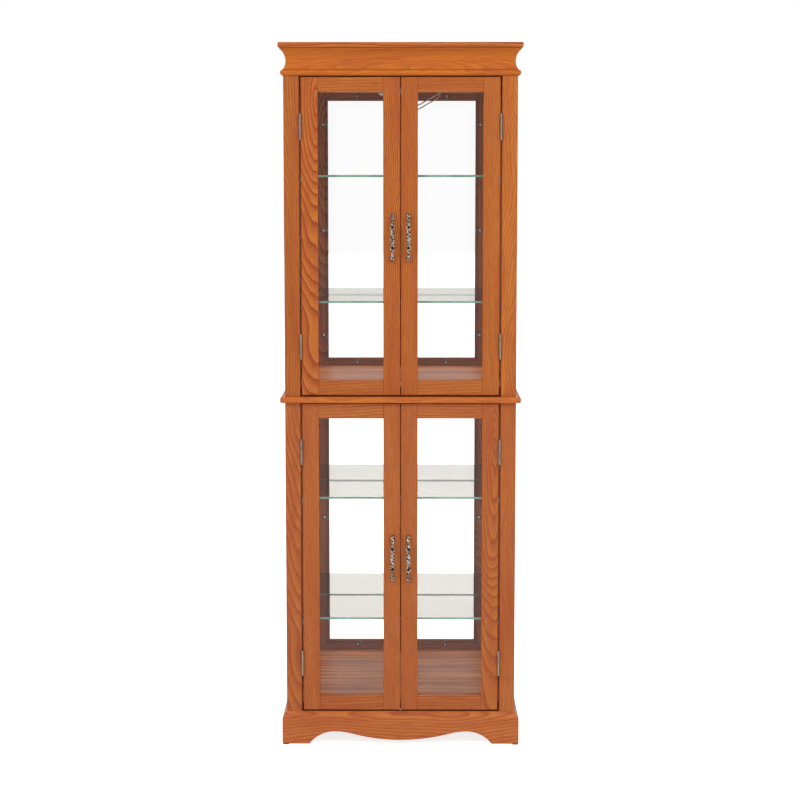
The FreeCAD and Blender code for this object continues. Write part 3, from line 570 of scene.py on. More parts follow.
@dataclass(frozen=True)
class PlainPine(Finish):
    """Unstained pine or its veneer on ply, sanded and left dry.

    The eye gets matt, pale straw bands some 18 mm wide, with faint darker lines along the grain.
    The fibres, 0.2 mm wide in the real wood, are drawn 1.4 mm wide, so that they show.
    """

    grain: Grain = Grain.UP
    light: str = "c49a68"
    dark: str = "a87a4c"

    def shade(self, tree: Tree) -> Source:
        """Broad soft bands along the grain and a dry, matt surface.

        Args:
            tree: The material's node tree.

        Returns:
            The finished shader.
        """
        place = add_node(tree, "ShaderNodeTexCoord").outputs["Object"]
        stretch = tuple(0.05 if axis else 1.0 for axis in GRAIN_AXIS[self.grain])
        drawn = add_node(tree, "ShaderNodeMapping", {"Vector": place, "Scale": stretch})
        bands = add_node(
            tree,
            "ShaderNodeTexNoise",
            {"Vector": drawn, "Scale": 55.0, "Detail": 4.0, "Roughness": 0.6},
        )
        shades = add_node(
            tree,
            "ShaderNodeValToRGB",
            {"Fac": bands},
            stops=[
                (0.3, colour(self.dark)),
                (0.5, colour(self.light)),
                (0.72, colour(self.dark, 1.15)),
            ],
        )
        fibre = add_node(
            tree,
            "ShaderNodeTexNoise",
            {"Vector": drawn, "Scale": 700.0, "Detail": 2.0, "Roughness": 0.6},
        )
        relief = add_node(
            tree, "ShaderNodeBump", {"Strength": 0.3, "Distance": 0.0003, "Height": fibre}
        )
        rough = add_node(
            tree, "ShaderNodeMapRange", {"Value": fibre, "To Min": 0.6, "To Max": 0.85}
        )
        return add_node(
            tree,
            "ShaderNodeBsdfPrincipled",
            {"Base Color": shades, "Roughness": rough, "Normal": relief},
        )


def edge_mask(tree: Tree, broad: Broad) -> Source:
    """Mask the narrow edges of a sheet.

    Args:
        tree: The material's node tree.
        broad: The axis that the broad faces look along.

    Returns:
        1 on the edges, 0 on the broad faces.
    """
    normal = add_node(tree, "ShaderNodeTexCoord").outputs["Normal"]
    parts = add_node(tree, "ShaderNodeSeparateXYZ", {0: normal})
    size = add_node(tree, "ShaderNodeMath", {0: parts.outputs[broad.value]}, operation="ABSOLUTE")
    return add_node(tree, "ShaderNodeMath", {0: size, 1: 0.5}, operation="LESS_THAN")


def glass_edge(tree: Tree, deep: str, pale: str) -> Source:
    """Shade the ground and polished edge of float glass, where its iron shows as green.

    Its tone changes every 33 mm or so, with what the depth of the sheet lets through.

    Args:
        tree: The material's node tree.
        deep: The darker green of the edge.
        pale: The paler green of the edge.

    Returns:
        The edge's shader.
    """
    place = add_node(tree, "ShaderNodeTexCoord").outputs["Object"]
    streak = add_node(tree, "ShaderNodeTexNoise", {"Vector": place, "Scale": 30.0, "Detail": 3.0})
    shades = add_node(
        tree,
        "ShaderNodeValToRGB",
        {"Fac": streak},
        stops=[(0.35, colour(deep)), (0.65, colour(pale))],
    )
    return add_node(
        tree, "ShaderNodeBsdfPrincipled", {"Base Color": shades, "Roughness": 0.12, "IOR": 1.52}
    )


@dataclass(frozen=True)
class ClearGlass(Finish):
    """Clear float glass, 4 or 5 mm thick: see-through, with a green edge and mirror-like glare.

    The eye gets what is behind it with a trace of green, white reflections that grow where the
    view grazes the sheet, and the green line of its edge. Its polish wavers over some 110 mm,
    the width of a wiping hand.
    """

    broad: Broad = Broad.Y
    tint: str = "ffffff"
    gloss: str = "d9d9d9"

    def shade(self, tree: Tree) -> Source:
        """A thin clear film with Fresnel glare on the faces that sight enters, and green edges.

        Args:
            tree: The material's node tree.

        Returns:
            The finished shader.
        """
        place = add_node(tree, "ShaderNodeTexCoord").outputs["Object"]
        haze = add_node(tree, "ShaderNodeTexNoise", {"Vector": place, "Scale": 9.0, "Detail": 3.0})
        polish = add_node(
            tree, "ShaderNodeMapRange", {"Value": haze, "To Min": 0.0, "To Max": 0.015}
        )
        film = add_node(tree, "ShaderNodeBsdfTransparent", {"Color": colour(self.tint)})
        glare = add_node(
            tree, "ShaderNodeBsdfGlossy", {"Color": colour(self.gloss), "Roughness": polish}
        )
        bounce = add_node(tree, "ShaderNodeFresnel", {"IOR": 1.5})
        leaving = add_node(tree, "ShaderNodeNewGeometry").outputs["Backfacing"]
        entering = add_node(tree, "ShaderNodeMath", {0: 1.0, 1: leaving}, operation="SUBTRACT")
        share = add_node(tree, "ShaderNodeMath", {0: bounce, 1: entering}, operation="MULTIPLY")
        face = add_node(tree, "ShaderNodeMixShader", {0: share, 1: film, 2: glare})
        edge = glass_edge(tree, "4f7f6c", "74a48f")
        # a far edge seen through the sheet stays clear, so each sheet shows its near edge only
        mask = add_node(
            tree,
            "ShaderNodeMath",
            {0: edge_mask(tree, self.broad), 1: entering},
            operation="MULTIPLY",
        )
        return add_node(tree, "ShaderNodeMixShader", {0: mask, 1: face, 2: edge})


@dataclass(frozen=True)
class SilveredGlass(Finish):
    """Float glass silvered on its back and painted over.

    The eye gets a clear reflection that softens a little over patches of some 170 mm, a green
    line at the edges and a matt grey back.
    """

    broad: Broad = Broad.Y

    def shade(self, tree: Tree) -> Source:
        """Silver seen through glass, with its edges and its backing paint by the way they face.

        Args:
            tree: The material's node tree.

        Returns:
            The finished shader.
        """
        place = add_node(tree, "ShaderNodeTexCoord")
        haze = add_node(
            tree,
            "ShaderNodeTexNoise",
            {"Vector": place.outputs["Object"], "Scale": 6.0, "Detail": 3.0},
        )
        polish = add_node(
            tree, "ShaderNodeMapRange", {"Value": haze, "To Min": 0.0, "To Max": 0.012}
        )
        silver = add_node(
            tree,
            "ShaderNodeBsdfPrincipled",
            {"Base Color": colour("fefffe"), "Metallic": 1.0, "Roughness": polish},
        )
        paint = add_node(
            tree, "ShaderNodeBsdfPrincipled", {"Base Color": colour("6f7173"), "Roughness": 0.7}
        )
        parts = add_node(tree, "ShaderNodeSeparateXYZ", {0: place.outputs["Normal"]})
        behind = add_node(
            tree, "ShaderNodeMath", {0: parts.outputs["Y"], 1: 0.5}, operation="GREATER_THAN"
        )
        sheet = add_node(tree, "ShaderNodeMixShader", {0: behind, 1: silver, 2: paint})
        edge = glass_edge(tree, "4f7f70", "6c9c8a")
        mask = edge_mask(tree, self.broad)
        return add_node(tree, "ShaderNodeMixShader", {0: mask, 1: sheet, 2: edge})


@dataclass(frozen=True)
class Metal(Finish):
    """A bare or plated metal with a worked surface: brushed streaks or a cast skin.

    The eye gets highlights that break up along the marks of the work. Brush marks and the grit of
    a casting are 0.1 mm wide or less, and are drawn 1 to 5 mm wide, so that they show.

    Attributes:
        bright: The tone where the surface is rubbed.
        dull: The tone of its hollows.
        smooth: The roughness of the bright places.
        coarse: The roughness of the dull places.
        spot: Marks in a metre, so that 900 makes each 1.1 mm wide and 350 makes it 2.9 mm.
        stretch: How closely the marks lie on each axis, so that 0.08 draws them out 12 times.
        relief: How deep the marks look.
    """

    bright: str = "c9c2b6"
    dull: str = "9d968a"
    smooth: float = 0.28
    coarse: float = 0.42
    spot: float = 350.0
    stretch: Point = (1.0, 1.0, 1.0)
    relief: float = 0.1

    def tones(self, tree: Tree, place: Source, worked: Source) -> Source:
        """The dull and the bright tone, spread by the worked surface."""
        return add_node(
            tree,
            "ShaderNodeValToRGB",
            {"Fac": worked},
            stops=[(0.35, colour(self.dull)), (0.65, colour(self.bright))],
        )

    def shade(self, tree: Tree) -> Source:
        """Two tones and two degrees of polish, spread by one noise.

        Args:
            tree: The material's node tree.

        Returns:
            The finished shader.
        """
        place = add_node(tree, "ShaderNodeTexCoord").outputs["Object"]
        drawn = add_node(tree, "ShaderNodeMapping", {"Vector": place, "Scale": self.stretch})
        worked = add_node(
            tree,
            "ShaderNodeTexNoise",
            {"Vector": drawn, "Scale": self.spot, "Detail": 3.0, "Roughness": 0.6},
        )
        shades = self.tones(tree, place, worked)
        rough = add_node(
            tree,
            "ShaderNodeMapRange",
            {
                "Value": worked,
                "From Min": 0.3,
                "From Max": 0.7,
                "To Min": self.coarse,
                "To Max": self.smooth,
            },
        )
        bump = add_node(
            tree, "ShaderNodeBump", {"Strength": self.relief, "Distance": 0.0002, "Height": worked}
        )
        return add_node(
            tree,
            "ShaderNodeBsdfPrincipled",
            {"Base Color": shades, "Metallic": 1.0, "Roughness": rough, "Normal": bump},
        )


@dataclass(frozen=True)
class AntiquePewter(Metal):
    """Cast and plated metal, blackened all over and rubbed bright on its high points.

    The eye gets light flecks some 5 mm wide on near black, brightest where the casting stands
    out furthest from the door: partly rubbed wear and patina, and partly painted light and shade
    that stands in for the relief of the casting, its sides and its recesses.

    Attributes:
        proud: The casting's hollows and its highest points on the Y axis, in millimetres, where the
            painted shade is fullest and where it ends.
        stroke: From one chased stroke to the next, in millimetres.
    """

    proud: tuple[float, float] = (-167.0, -171.3)
    stroke: float = 9.0

    def tones(self, tree: Tree, place: Source, worked: Source) -> Source:
        """Chased strokes and cast pits over black, lighter towards the front: rubbed wear, and
        painted shade on the sides and in the recesses.

        Args:
            tree: The material's node tree.
            place: Places on the object.
            worked: The noise of the worked surface.

        Returns:
            The metal's colour.
        """
        drawn = add_node(tree, "ShaderNodeMapping", {"Vector": place, "Scale": (1.0, 0.25, 1.0)})
        strokes = add_node(
            tree,
            "ShaderNodeTexWave",
            {
                "Vector": drawn,
                "Scale": 0.628 / (self.stroke * MM),
                "Distortion": 4.0,
                "Detail": 2.0,
                "Detail Scale": 1.5,
            },
            bands_direction="DIAGONAL",
        ).outputs["Fac"]
        marks = add_node(tree, "ShaderNodeMix", {0: 0.1, 2: worked, 3: strokes}, data_type="FLOAT")
        rubbed = add_node(
            tree,
            "ShaderNodeValToRGB",
            {"Fac": marks},
            stops=[(0.44, colour(self.dull)), (0.57, colour(self.bright))],
        )
        # darker towards the back: patina, and painted shade on the sides and in the recesses
        depth = add_node(tree, "ShaderNodeSeparateXYZ", {0: place}).outputs["Y"]
        hollow = add_node(
            tree,
            "ShaderNodeMapRange",
            {
                "Value": depth,
                "From Min": self.proud[1] * MM,
                "From Max": self.proud[0] * MM,
                "To Min": 0.0,
                "To Max": 0.3,
            },
        )
        return add_node(
            tree, "ShaderNodeMix", {0: hollow, 6: rubbed, 7: colour(self.dull)}, data_type="RGBA"
        ).outputs[2]


@dataclass(frozen=True)
class Moulded(Finish):
    """A plastic as it leaves its mould.

    The eye gets one colour in two near tones, with a soft, slightly grained sheen. The texture of
    a mould is 0.1 mm or finer, and is drawn coarser, so that it shows.

    Attributes:
        tint: The plastic's colour.
        gloss: The middle of its roughness.
        spot: Grains in a metre, so that 500 makes each 2 mm wide.
    """

    tint: str = "3b2a20"
    gloss: float = 0.45
    spot: float = 500.0

    def shade(self, tree: Tree) -> Source:
        """One colour in two near tones, with a grained skin.

        Args:
            tree: The material's node tree.

        Returns:
            The finished shader.
        """
        place = add_node(tree, "ShaderNodeTexCoord").outputs["Object"]
        skin = add_node(
            tree,
            "ShaderNodeTexNoise",
            {"Vector": place, "Scale": self.spot, "Detail": 2.0, "Roughness": 0.5},
        )
        shades = add_node(
            tree,
            "ShaderNodeValToRGB",
            {"Fac": skin},
            stops=[(0.3, colour(self.tint, 0.88)), (0.7, colour(self.tint, 1.12))],
        )
        rough = add_node(
            tree,
            "ShaderNodeMapRange",
            {"Value": skin, "To Min": self.gloss - 0.08, "To Max": self.gloss + 0.08},
        )
        bump = add_node(
            tree, "ShaderNodeBump", {"Strength": 0.12, "Distance": 0.0001, "Height": skin}
        )
        return add_node(
            tree,
            "ShaderNodeBsdfPrincipled",
            {"Base Color": shades, "Roughness": rough, "Normal": bump},
        )


@dataclass(frozen=True)
class ClearMoulding(Finish):
    """A clear moulded plastic.

    The eye gets what lies behind it through a thin milky body, cloudier in patches of some 4 mm.

    Attributes:
        tint: The colour of what comes through.
        milk: The share of its own pale body that shows.
    """

    tint: str = "e6dcd2"
    milk: float = 0.16

    def shade(self, tree: Tree) -> Source:
        """A see-through film mixed with a little glossy plastic, in a slowly changing share.

        Args:
            tree: The material's node tree.

        Returns:
            The finished shader.
        """
        place = add_node(tree, "ShaderNodeTexCoord").outputs["Object"]
        cloud = add_node(
            tree, "ShaderNodeTexNoise", {"Vector": place, "Scale": 240.0, "Detail": 2.0}
        )
        share = add_node(
            tree,
            "ShaderNodeMapRange",
            {"Value": cloud, "To Min": self.milk * 0.5, "To Max": self.milk * 1.5},
        )
        film = add_node(tree, "ShaderNodeBsdfTransparent", {"Color": colour(self.tint)})
        body = add_node(
            tree, "ShaderNodeBsdfPrincipled", {"Base Color": colour("e6ded6"), "Roughness": 0.35}
        )
        return add_node(tree, "ShaderNodeMixShader", {0: share, 1: film, 2: body})


# peeled veneer is even in tone, and blocks as they leave the saw are yellower
PINE_PANEL = PlainPine("pine_veneered_ply", Grain.UP)
PINE_BLOCK = PlainPine("sawn_pine_blocks", Grain.UP, "d0ab78", "b38a58")
# upright panes all but vanish, and the shelves dim and grey a little what is seen through them
DOOR_GLASS = ClearGlass("float_glass_door_panes", Broad.Y)
SIDE_GLASS = ClearGlass("float_glass_side_panes", Broad.X)
SHELF_GLASS = ClearGlass("float_glass_shelves", Broad.Z, "d7d5d2", "e4e2de")
MIRROR = SilveredGlass("silvered_float_glass")
# brushed upright: a grey with soft streaks, whose warm dark tone is a painted reflection of the
# stained wood all round it
NICKEL = Metal("brushed_nickel_plate", "9a877a", "69574e", 0.34, 0.5, 900.0, (1.0, 1.0, 0.08))
# pressed heads, plated bright: small hard glints
SCREW_STEEL = Metal("zinc_plated_screw_steel", "d2d0c8", "a9a69c", 0.2, 0.35, 900.0)
# drawn wire with a stamped head, left bare: duller, greyer dots
NAIL_STEEL = Metal("bright_nail_steel", "b8b6ae", "8f8c84", 0.3, 0.45, 900.0)
# the pulls, rubbed bright where a hand reaches and painted lighter towards the front, with painted
# shade on their sides and in their recesses
PEWTER = AntiquePewter(
    "antique_pewter_casting", "aba096", "37322e", 0.2, 0.5, 210.0, (1.0, 1.0, 1.0), 0.5
)
# a near-black floor in each scroll's open eye: painted shade of the deep eye
SCROLL_EYE_SHADE = Metal("pewter_scroll_eye_painted_shade", "3a352f", "1c1a18", 0.45, 0.6, 400.0)
# pale blurs at the panes' edges, each with one soft light dot where its dull screw sits, its pink
# tint a painted reflection of the wood round it
CLIP_PLASTIC = ClearMoulding("clear_moulded_nylon_clips")
CLIP_SCREW = Metal("dull_zinc_clip_screws", "ecd8cf", "c9b4aa", 0.5, 0.65, 900.0)
# dark mouldings that sink into the shade of the boards
CATCH_PLASTIC = Moulded("brown_moulded_catch", "4a2c1c", 0.5)
PAD_PLASTIC = Moulded("brown_moulded_foot_pads", "3a2418", 0.6)
# an extruded case with a satin skin, and a frosted lens of a warmer white
LAMP_METAL = Metal("satin_aluminium_lamp_case", "cfcabf", "b3ada1", 0.3, 0.42, 500.0)
LAMP_LENS = Moulded("frosted_acrylic_lens", "e8e2d2", 0.4, 120.0)
# pale brown flex, drawn solid because it is too thin to look into
LEAD_PLASTIC = Moulded("clear_brown_vinyl_lead", "bfa99a", 0.4)


# the span between the posts of a side frame, front to back
SIDE_RAILS = (-0.103, 0.132)


def oak_boards() -> dict[str, StainedOak]:
    """The oak finish of each board, with its own place in the tree.

    Returns:
        Finishes by CAD node. Two boards never share the same run of grain.
    """
    up, across, deep = Grain.UP, Grain.ACROSS, Grain.DEEP
    rows: dict[str, tuple] = {
        # node: grain, pith, tilt, ring, tone, wander
        "plinth_front": (across, (0.1, 0.06, -0.12), (0.01, 0.02), 5.0, 1.12, 2.5),
        "plinth_returns": (deep, (0.3, 0.0, -0.08), (0.02, 0.01), 7.0, 0.95, 2.5),
        "back_rails": (across, (0.0, 0.2, 0.3), (0.02, 0.0), 7.0, 0.9, 2.5),
        # both floors are drawn far lighter, with painted light standing in for the light on their
        # upward tops
        "lower_floor": (across, (0.0, 0.3, -0.02), (0.02, 0.03), 17.0, 1.4, 3.4),
        "waist_board": (across, (0.1, 0.1, 0.77), (0.0, 0.01), 6.0, 1.22, 2.0),
        "upper_floor": (across, (-0.1, 0.32, 0.85), (0.02, 0.03), 24.0, 1.75, 3.4),
        "ceiling_board": (across, (0.1, 0.02, 1.75), (0.01, 0.0), 9.0, 0.68, 3.0),
        "top_board": (across, (-0.2, -0.05, 1.6), (0.01, 0.01), 8.0, 1.0, 2.5),
        "crown_front": (across, (0.1, 0.1, 1.55), (0.006, 0.01), 4.0, 1.12, 2.0),
        "crown_returns": (deep, (0.15, 0.0, 1.6), (0.01, 0.01), 8.0, 1.04, 2.0),
        "lower_left_side_frame": (up, (-0.235, -0.13, 0.86), (-0.13, 0.0), 7.0, 0.96, 3.2),
        "lower_right_side_frame": (up, (0.37, -0.08, 0.4), (0.03, 0.02), 3.8, 0.98, 2.6),
        "upper_left_side_frame": (up, (-0.33, -0.06, 1.2), (0.03, 0.02), 4.0, 0.93, 2.6),
        "upper_right_side_frame": (up, (0.32, -0.05, 1.2), (0.02, -0.02), 4.0, 1.08, 2.6),
    }
    door_rows: dict[str, tuple] = {
        "upper_left_hinge_stile": (up, (-0.204, -0.145, 1.62), (-0.17, 0.0), 7.0, 1.02, 3.6),
        "upper_left_lock_stile": (up, (0.1, -0.05, 1.2), (0.01, 0.01), 3.6, 1.0, 2.0),
        "upper_left_rails": (across, (-0.1, -0.1, 1.2), (0.04, 0.03), 8.0, 0.96, 3.0),
        "upper_right_hinge_stile": (up, (0.37, -0.07, 1.2), (0.015, 0.015), 3.8, 0.99, 2.4),
        "upper_right_lock_stile": (up, (-0.1, -0.07, 1.2), (0.01, 0.01), 3.6, 0.98, 2.0),
        "upper_right_rails": (across, (0.1, -0.08, 1.3), (0.03, 0.02), 8.0, 1.0, 3.0),
        "lower_left_hinge_stile": (up, (-0.33, -0.08, 0.5), (0.05, 0.03), 3.6, 0.98, 3.0),
        "lower_left_lock_stile": (up, (0.1, -0.03, 0.4), (0.01, 0.01), 3.6, 0.99, 2.0),
        "lower_left_rails": (across, (-0.13, -0.11, 0.5), (0.03, 0.05), 8.0, 0.96, 3.4),
        "lower_right_hinge_stile": (up, (0.232, -0.125, 0.95), (0.13, 0.0), 5.0, 0.97, 3.2),
        "lower_right_lock_stile": (up, (-0.1, -0.06, 0.4), (0.012, 0.01), 3.8, 0.97, 2.2),
        "lower_right_rails": (across, (0.12, -0.1, 0.4), (0.02, 0.03), 8.0, 0.98, 3.0),
    }
    for door in DOORS:
        for part in ("hinge_stile", "lock_stile", "rails"):
            rows[f"{door.name}_{part}"] = door_rows[f"{door.section}_{door.side}_{part}"]
    # how far the growth lines are evened out where the board is cut straight, and to what tone
    golden, brown, warm = "bd6b16", "b87046", "b87030"
    calm = {
        "crown_front": (0.62, golden),
        "crown_returns": (0.45, golden),
        "waist_board": (0.6, "b4662a"),
        "plinth_front": (0.3, brown),
        "plinth_returns": (0.3, brown),
        "upper_left_side_frame": (0.3, warm),
        "upper_right_side_frame": (0.5, warm),
        "upper_right_door_hinge_stile": (0.3, warm),
        "lower_left_side_frame": (0.3, brown),
        "lower_right_side_frame": (0.3, brown),
    }
    for door in DOORS:
        if door.section == "upper":
            calm[f"{door.name}_rails"] = (0.4, warm)
        else:
            calm[f"{door.name}_rails"] = (0.35, brown)
            for part in ("hinge_stile", "lock_stile"):
                calm[f"{door.name}_{part}"] = (0.28, brown)
    # heights of the thin lines of painted shade in the crown's corners
    crown = (1674.5, 1726.5)
    painted_shade_heights = {"crown_front": crown, "crown_returns": crown}
    # widths of the painted streaks of reflection in millimetres, drawn wider above, where sight is
    # lower
    streaks = {"lower_floor": 17.0, "upper_floor": 36.0}
    boards = {}
    for node, row in rows.items():
        share, even = calm.get(node, (0.0, warm))
        boards[node] = StainedOak(
            f"stained_red_oak_{node}",
            *row,
            cross_zone=SIDE_RAILS if node.endswith("side_frame") else None,
            calm=share,
            even=even,
            painted_shade_heights=painted_shade_heights.get(node, ()),
            streak=streaks.get(node, 0.0),
        )
    return boards


# ---------------------------------------------------------------- studio


@dataclass
class Studio:
    """The camera at the photograph's viewing angle, a pale floor and soft lamps."""

    eye: Point = (0.026, -5.118, 1.431)
    lens: float = 91.26
    sensor: float = 36.0
    tilt: float = 6.45
    pan: float = 0.315
    floor_half: float = 30.0
    fill: float = 0.64
    lamps: list[tuple[Point, Point, float, float]] = field(
        default_factory=lambda: [
            # place, aim, side of the square lamp in metres, watts
            ((-2.6, -3.4, 3.9), (0.0, 0.0, 0.9), 2.4, 92.0),
            ((2.6, -3.4, 3.6), (0.0, 0.0, 0.9), 2.4, 76.0),
            ((0.0, 2.4, 2.9), (0.0, 0.0, 1.0), 2.0, 40.0),
        ]
    )

    def place_camera(self) -> None:
        """Stand the camera in front of the cabinet, tilted down a little."""
        data = bpy.data.cameras.new("photo_camera")
        data.lens = self.lens
        data.sensor_width = self.sensor
        camera = bpy.data.objects.new("photo_camera", data)
        camera.location = self.eye
        camera.rotation_euler = (math.radians(90 - self.tilt), 0.0, math.radians(self.pan))
        bpy.context.scene.collection.objects.link(camera)
        bpy.context.scene.camera = camera

    def seen(self, tree: Tree) -> Source:
        """Mask the rays that the camera sees directly, in gloss or through glass.

        Args:
            tree: The material's or world's node tree.

        Returns:
            1 for those rays, 0 for others.
        """
        path = add_node(tree, "ShaderNodeLightPath")
        first = add_node(
            tree,
            "ShaderNodeMath",
            {0: path.outputs["Is Camera Ray"], 1: path.outputs["Is Glossy Ray"]},
            operation="MAXIMUM",
        )
        return add_node(
            tree,
            "ShaderNodeMath",
            {0: first, 1: path.outputs["Is Transmission Ray"]},
            operation="MAXIMUM",
        )

    def light_world(self) -> None:
        """A white studio all round, which lights the cabinet softly."""
        world = bpy.data.worlds.new("white_studio")
        world.use_nodes = True
        tree = world.node_tree
        tree.nodes.clear()
        strength = add_node(
            tree,
            "ShaderNodeMapRange",
            {"Value": self.seen(tree), "To Min": self.fill, "To Max": 1.0},
        )
        sky = add_node(
            tree, "ShaderNodeBackground", {"Color": (1.0, 1.0, 1.0, 1.0), "Strength": strength}
        )
        add_node(tree, "ShaderNodeOutputWorld", {"Surface": sky})
        bpy.context.scene.world = world

    def lay_floor(self) -> None:
        """A wide pale floor that looks white but keeps the cabinet's shadow."""
        bpy.ops.object.select_all(action="DESELECT")
        bpy.ops.mesh.primitive_plane_add(size=2 * self.floor_half)
        floor = bpy.context.active_object
        floor.name = "studio_floor"
        made = bpy.data.materials.new("white_studio_floor")
        made.use_nodes = True
        tree = made.node_tree
        tree.nodes.clear()
        place = add_node(tree, "ShaderNodeTexCoord").outputs["Object"]
        mottle = add_node(tree, "ShaderNodeTexNoise", {"Vector": place, "Scale": 3.0})
        shades = add_node(
            tree,
            "ShaderNodeValToRGB",
            {"Fac": mottle},
            stops=[(0.3, colour("f0f0f0")), (0.7, colour("f4f4f4"))],
        )
        board = add_node(tree, "ShaderNodeBsdfDiffuse", {"Color": shades})
        lift = add_node(
            tree, "ShaderNodeMapRange", {"Value": self.seen(tree), "To Min": 0.0, "To Max": 0.8}
        )
        glow = add_node(
            tree, "ShaderNodeEmission", {"Color": (1.0, 1.0, 1.0, 1.0), "Strength": lift}
        )
        both = add_node(tree, "ShaderNodeAddShader", {0: board, 1: glow})
        add_node(tree, "ShaderNodeOutputMaterial", {"Surface": both})
        floor.data.materials.append(made)

    def hang_lamps(self) -> None:
        """Large square lamps in front of and behind the cabinet."""
        for number, (place, aim, side, watts) in enumerate(self.lamps, 1):
            data = bpy.data.lights.new(f"soft_lamp_{number}", "AREA")
            data.size = side
            data.energy = watts
            lamp = bpy.data.objects.new(f"soft_lamp_{number}", data)
            lamp.location = place
            look = Vector(aim) - Vector(place)
            lamp.rotation_euler = look.to_track_quat("-Z", "Y").to_euler()
            bpy.context.scene.collection.objects.link(lamp)


# ---------------------------------------------------------------- the lamp's lead


@dataclass
class LampLead:
    """The low voltage lead of the cabinet lamp, a slack loop under the ceiling."""

    diameter: float = 3.0
    length: float = 159.2
    start: Point = (0.0, -18.0, 1645.0)
    route: list[tuple[float, float]] = field(
        default_factory=lambda: [
            (0.0, -5.5),
            (10.0, -5.5),
            (18.0, -13.5),
            (20.0, -28.5),
            (23.0, -44.0),
            (33.5, -54.0),
            (48.0, -50.5),
            (66.0, -38.5),
            (83.0, -30.0),
            (97.0, -21.0),
            (104.0, -11.0),
            (104.0, 0.0),
        ]
    )

    def build(self) -> Piece:
        """Lay the lead through its route's points as one smooth line.

        Returns:
            The lead, riding on the cabinet in place of its solid.
        """
        line = bpy.data.curves.new("lamp_lead_flex", "CURVE")
        line.dimensions = "3D"
        spline = line.splines.new("NURBS")
        spline.points.add(len(self.route) - 1)
        across, back, up = self.start
        for point, (right, rise) in zip(spline.points, self.route):
            point.co = ((across + right) * MM, back * MM, (up + rise) * MM, 1.0)
        spline.order_u = 3
        spline.use_endpoint_u = True
        line.bevel_depth = self.diameter * MM / 2
        line.bevel_resolution = 4
        line.use_fill_caps = True
        lead = bpy.data.objects.new("lamp_lead_flex", line)
        bpy.context.scene.collection.objects.link(lead)
        LEAD_PLASTIC.dress(lead)
        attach(lead, "cabinet")
        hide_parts("lamp_lead")
        return lead


# ---------------------------------------------------------------- the cabinet's own solids


@dataclass
class FrameDressing:
    """Finishes for the solids that keep their shape from the frame."""

    nodes: dict[str, Piece]

    def finishes(self) -> dict[str, Finish]:
        """The finish of every node of the frame.

        Returns:
            Finishes by node name.
        """
        found: dict[str, Finish] = dict(oak_boards())
        found.update(
            {
                "corner_blocks": PINE_BLOCK,
                "foot_pads": PAD_PLASTIC,
                "side_glass": SIDE_GLASS,
                "back_panels": PINE_PANEL,
                "upper_mirror": MIRROR,
                "lower_mirror": MIRROR,
                "upper_glass_shelves": SHELF_GLASS,
                "lower_glass_shelves": SHELF_GLASS,
                "shelf_brackets": NICKEL,
                "frame_hinge_leaves": NICKEL,
                "magnetic_catches": CATCH_PLASTIC,
                "lamp_housing": LAMP_METAL,
                "lamp_lens": LAMP_LENS,
                "lamp_lead": LEAD_PLASTIC,
            }
        )
        for door in DOORS:
            found[f"{door.name}_glass"] = DOOR_GLASS
            found[f"{door.name}_glass_clips"] = CLIP_PLASTIC
            found[f"{door.name}_pull"] = PEWTER
            found[f"{door.name}_hinge_leaves"] = NICKEL
            found[f"{door.name}_strike_plate"] = NICKEL
        return found

    def dress(self) -> None:
        """Put each finish in its node's material slots."""
        finishes = self.finishes()
        for name, node in self.nodes.items():
            finishes[name].dress(node)
            LOG.info("%s is finished in %s", name, finishes[name].name)


# ---------------------------------------------------------------- modelling


class Pick(Enum):
    """What a selection is made of."""

    POINTS = "VERT"
    EDGES = "EDGE"
    FACES = "FACE"


def object_mode() -> None:
    """Leave edit mode, if a mesh is being edited."""
    if bpy.context.object is not None and bpy.context.object.mode != "OBJECT":
        bpy.ops.object.mode_set(mode="OBJECT")


def take(*pieces: Piece) -> None:
    """Select these objects only, with the first one active.

    Args:
        pieces: Objects of the scene.
    """
    object_mode()
    bpy.ops.object.select_all(action="DESELECT")
    for piece in pieces:
        piece.select_set(True)
    bpy.context.view_layer.objects.active = pieces[0]


def start(kind: str, **settings: object) -> Piece:
    """Add a primitive mesh and leave it selected in edit mode.

    Args:
        kind: The primitive, such as "circle" or "cylinder".
        settings: What its operator takes.

    Returns:
        The new object.
    """
    object_mode()
    bpy.ops.object.select_all(action="DESELECT")
    getattr(bpy.ops.mesh, f"primitive_{kind}_add")(**settings)
    piece = bpy.context.active_object
    bpy.ops.object.transform_apply(location=True, rotation=True, scale=True)
    bpy.ops.object.mode_set(mode="EDIT")
    bpy.ops.mesh.select_all(action="SELECT")
    return piece


def pick(piece: Piece, what: Pick, test: Callable[[Vector], bool]) -> None:
    """Select the points, edges or faces that pass a test, in edit mode.

    Args:
        piece: The mesh object being edited.
        what: The kind of element.
        test: A function of the element's middle that says whether it is wanted.
    """
    object_mode()
    mesh = piece.data
    groups = {Pick.POINTS: mesh.vertices, Pick.EDGES: mesh.edges, Pick.FACES: mesh.polygons}
    for group in groups.values():
        group.foreach_set("select", [False] * len(group))
    for element in groups[what]:
        if what is Pick.POINTS:
            middle = element.co
        elif what is Pick.FACES:
            middle = element.center
        else:
            ends = [mesh.vertices[index].co for index in element.vertices]
            middle = (ends[0] + ends[1]) / 2
        element.select = bool(test(middle))
    bpy.ops.object.mode_set(mode="EDIT")
    bpy.ops.mesh.select_mode(type=what.value)


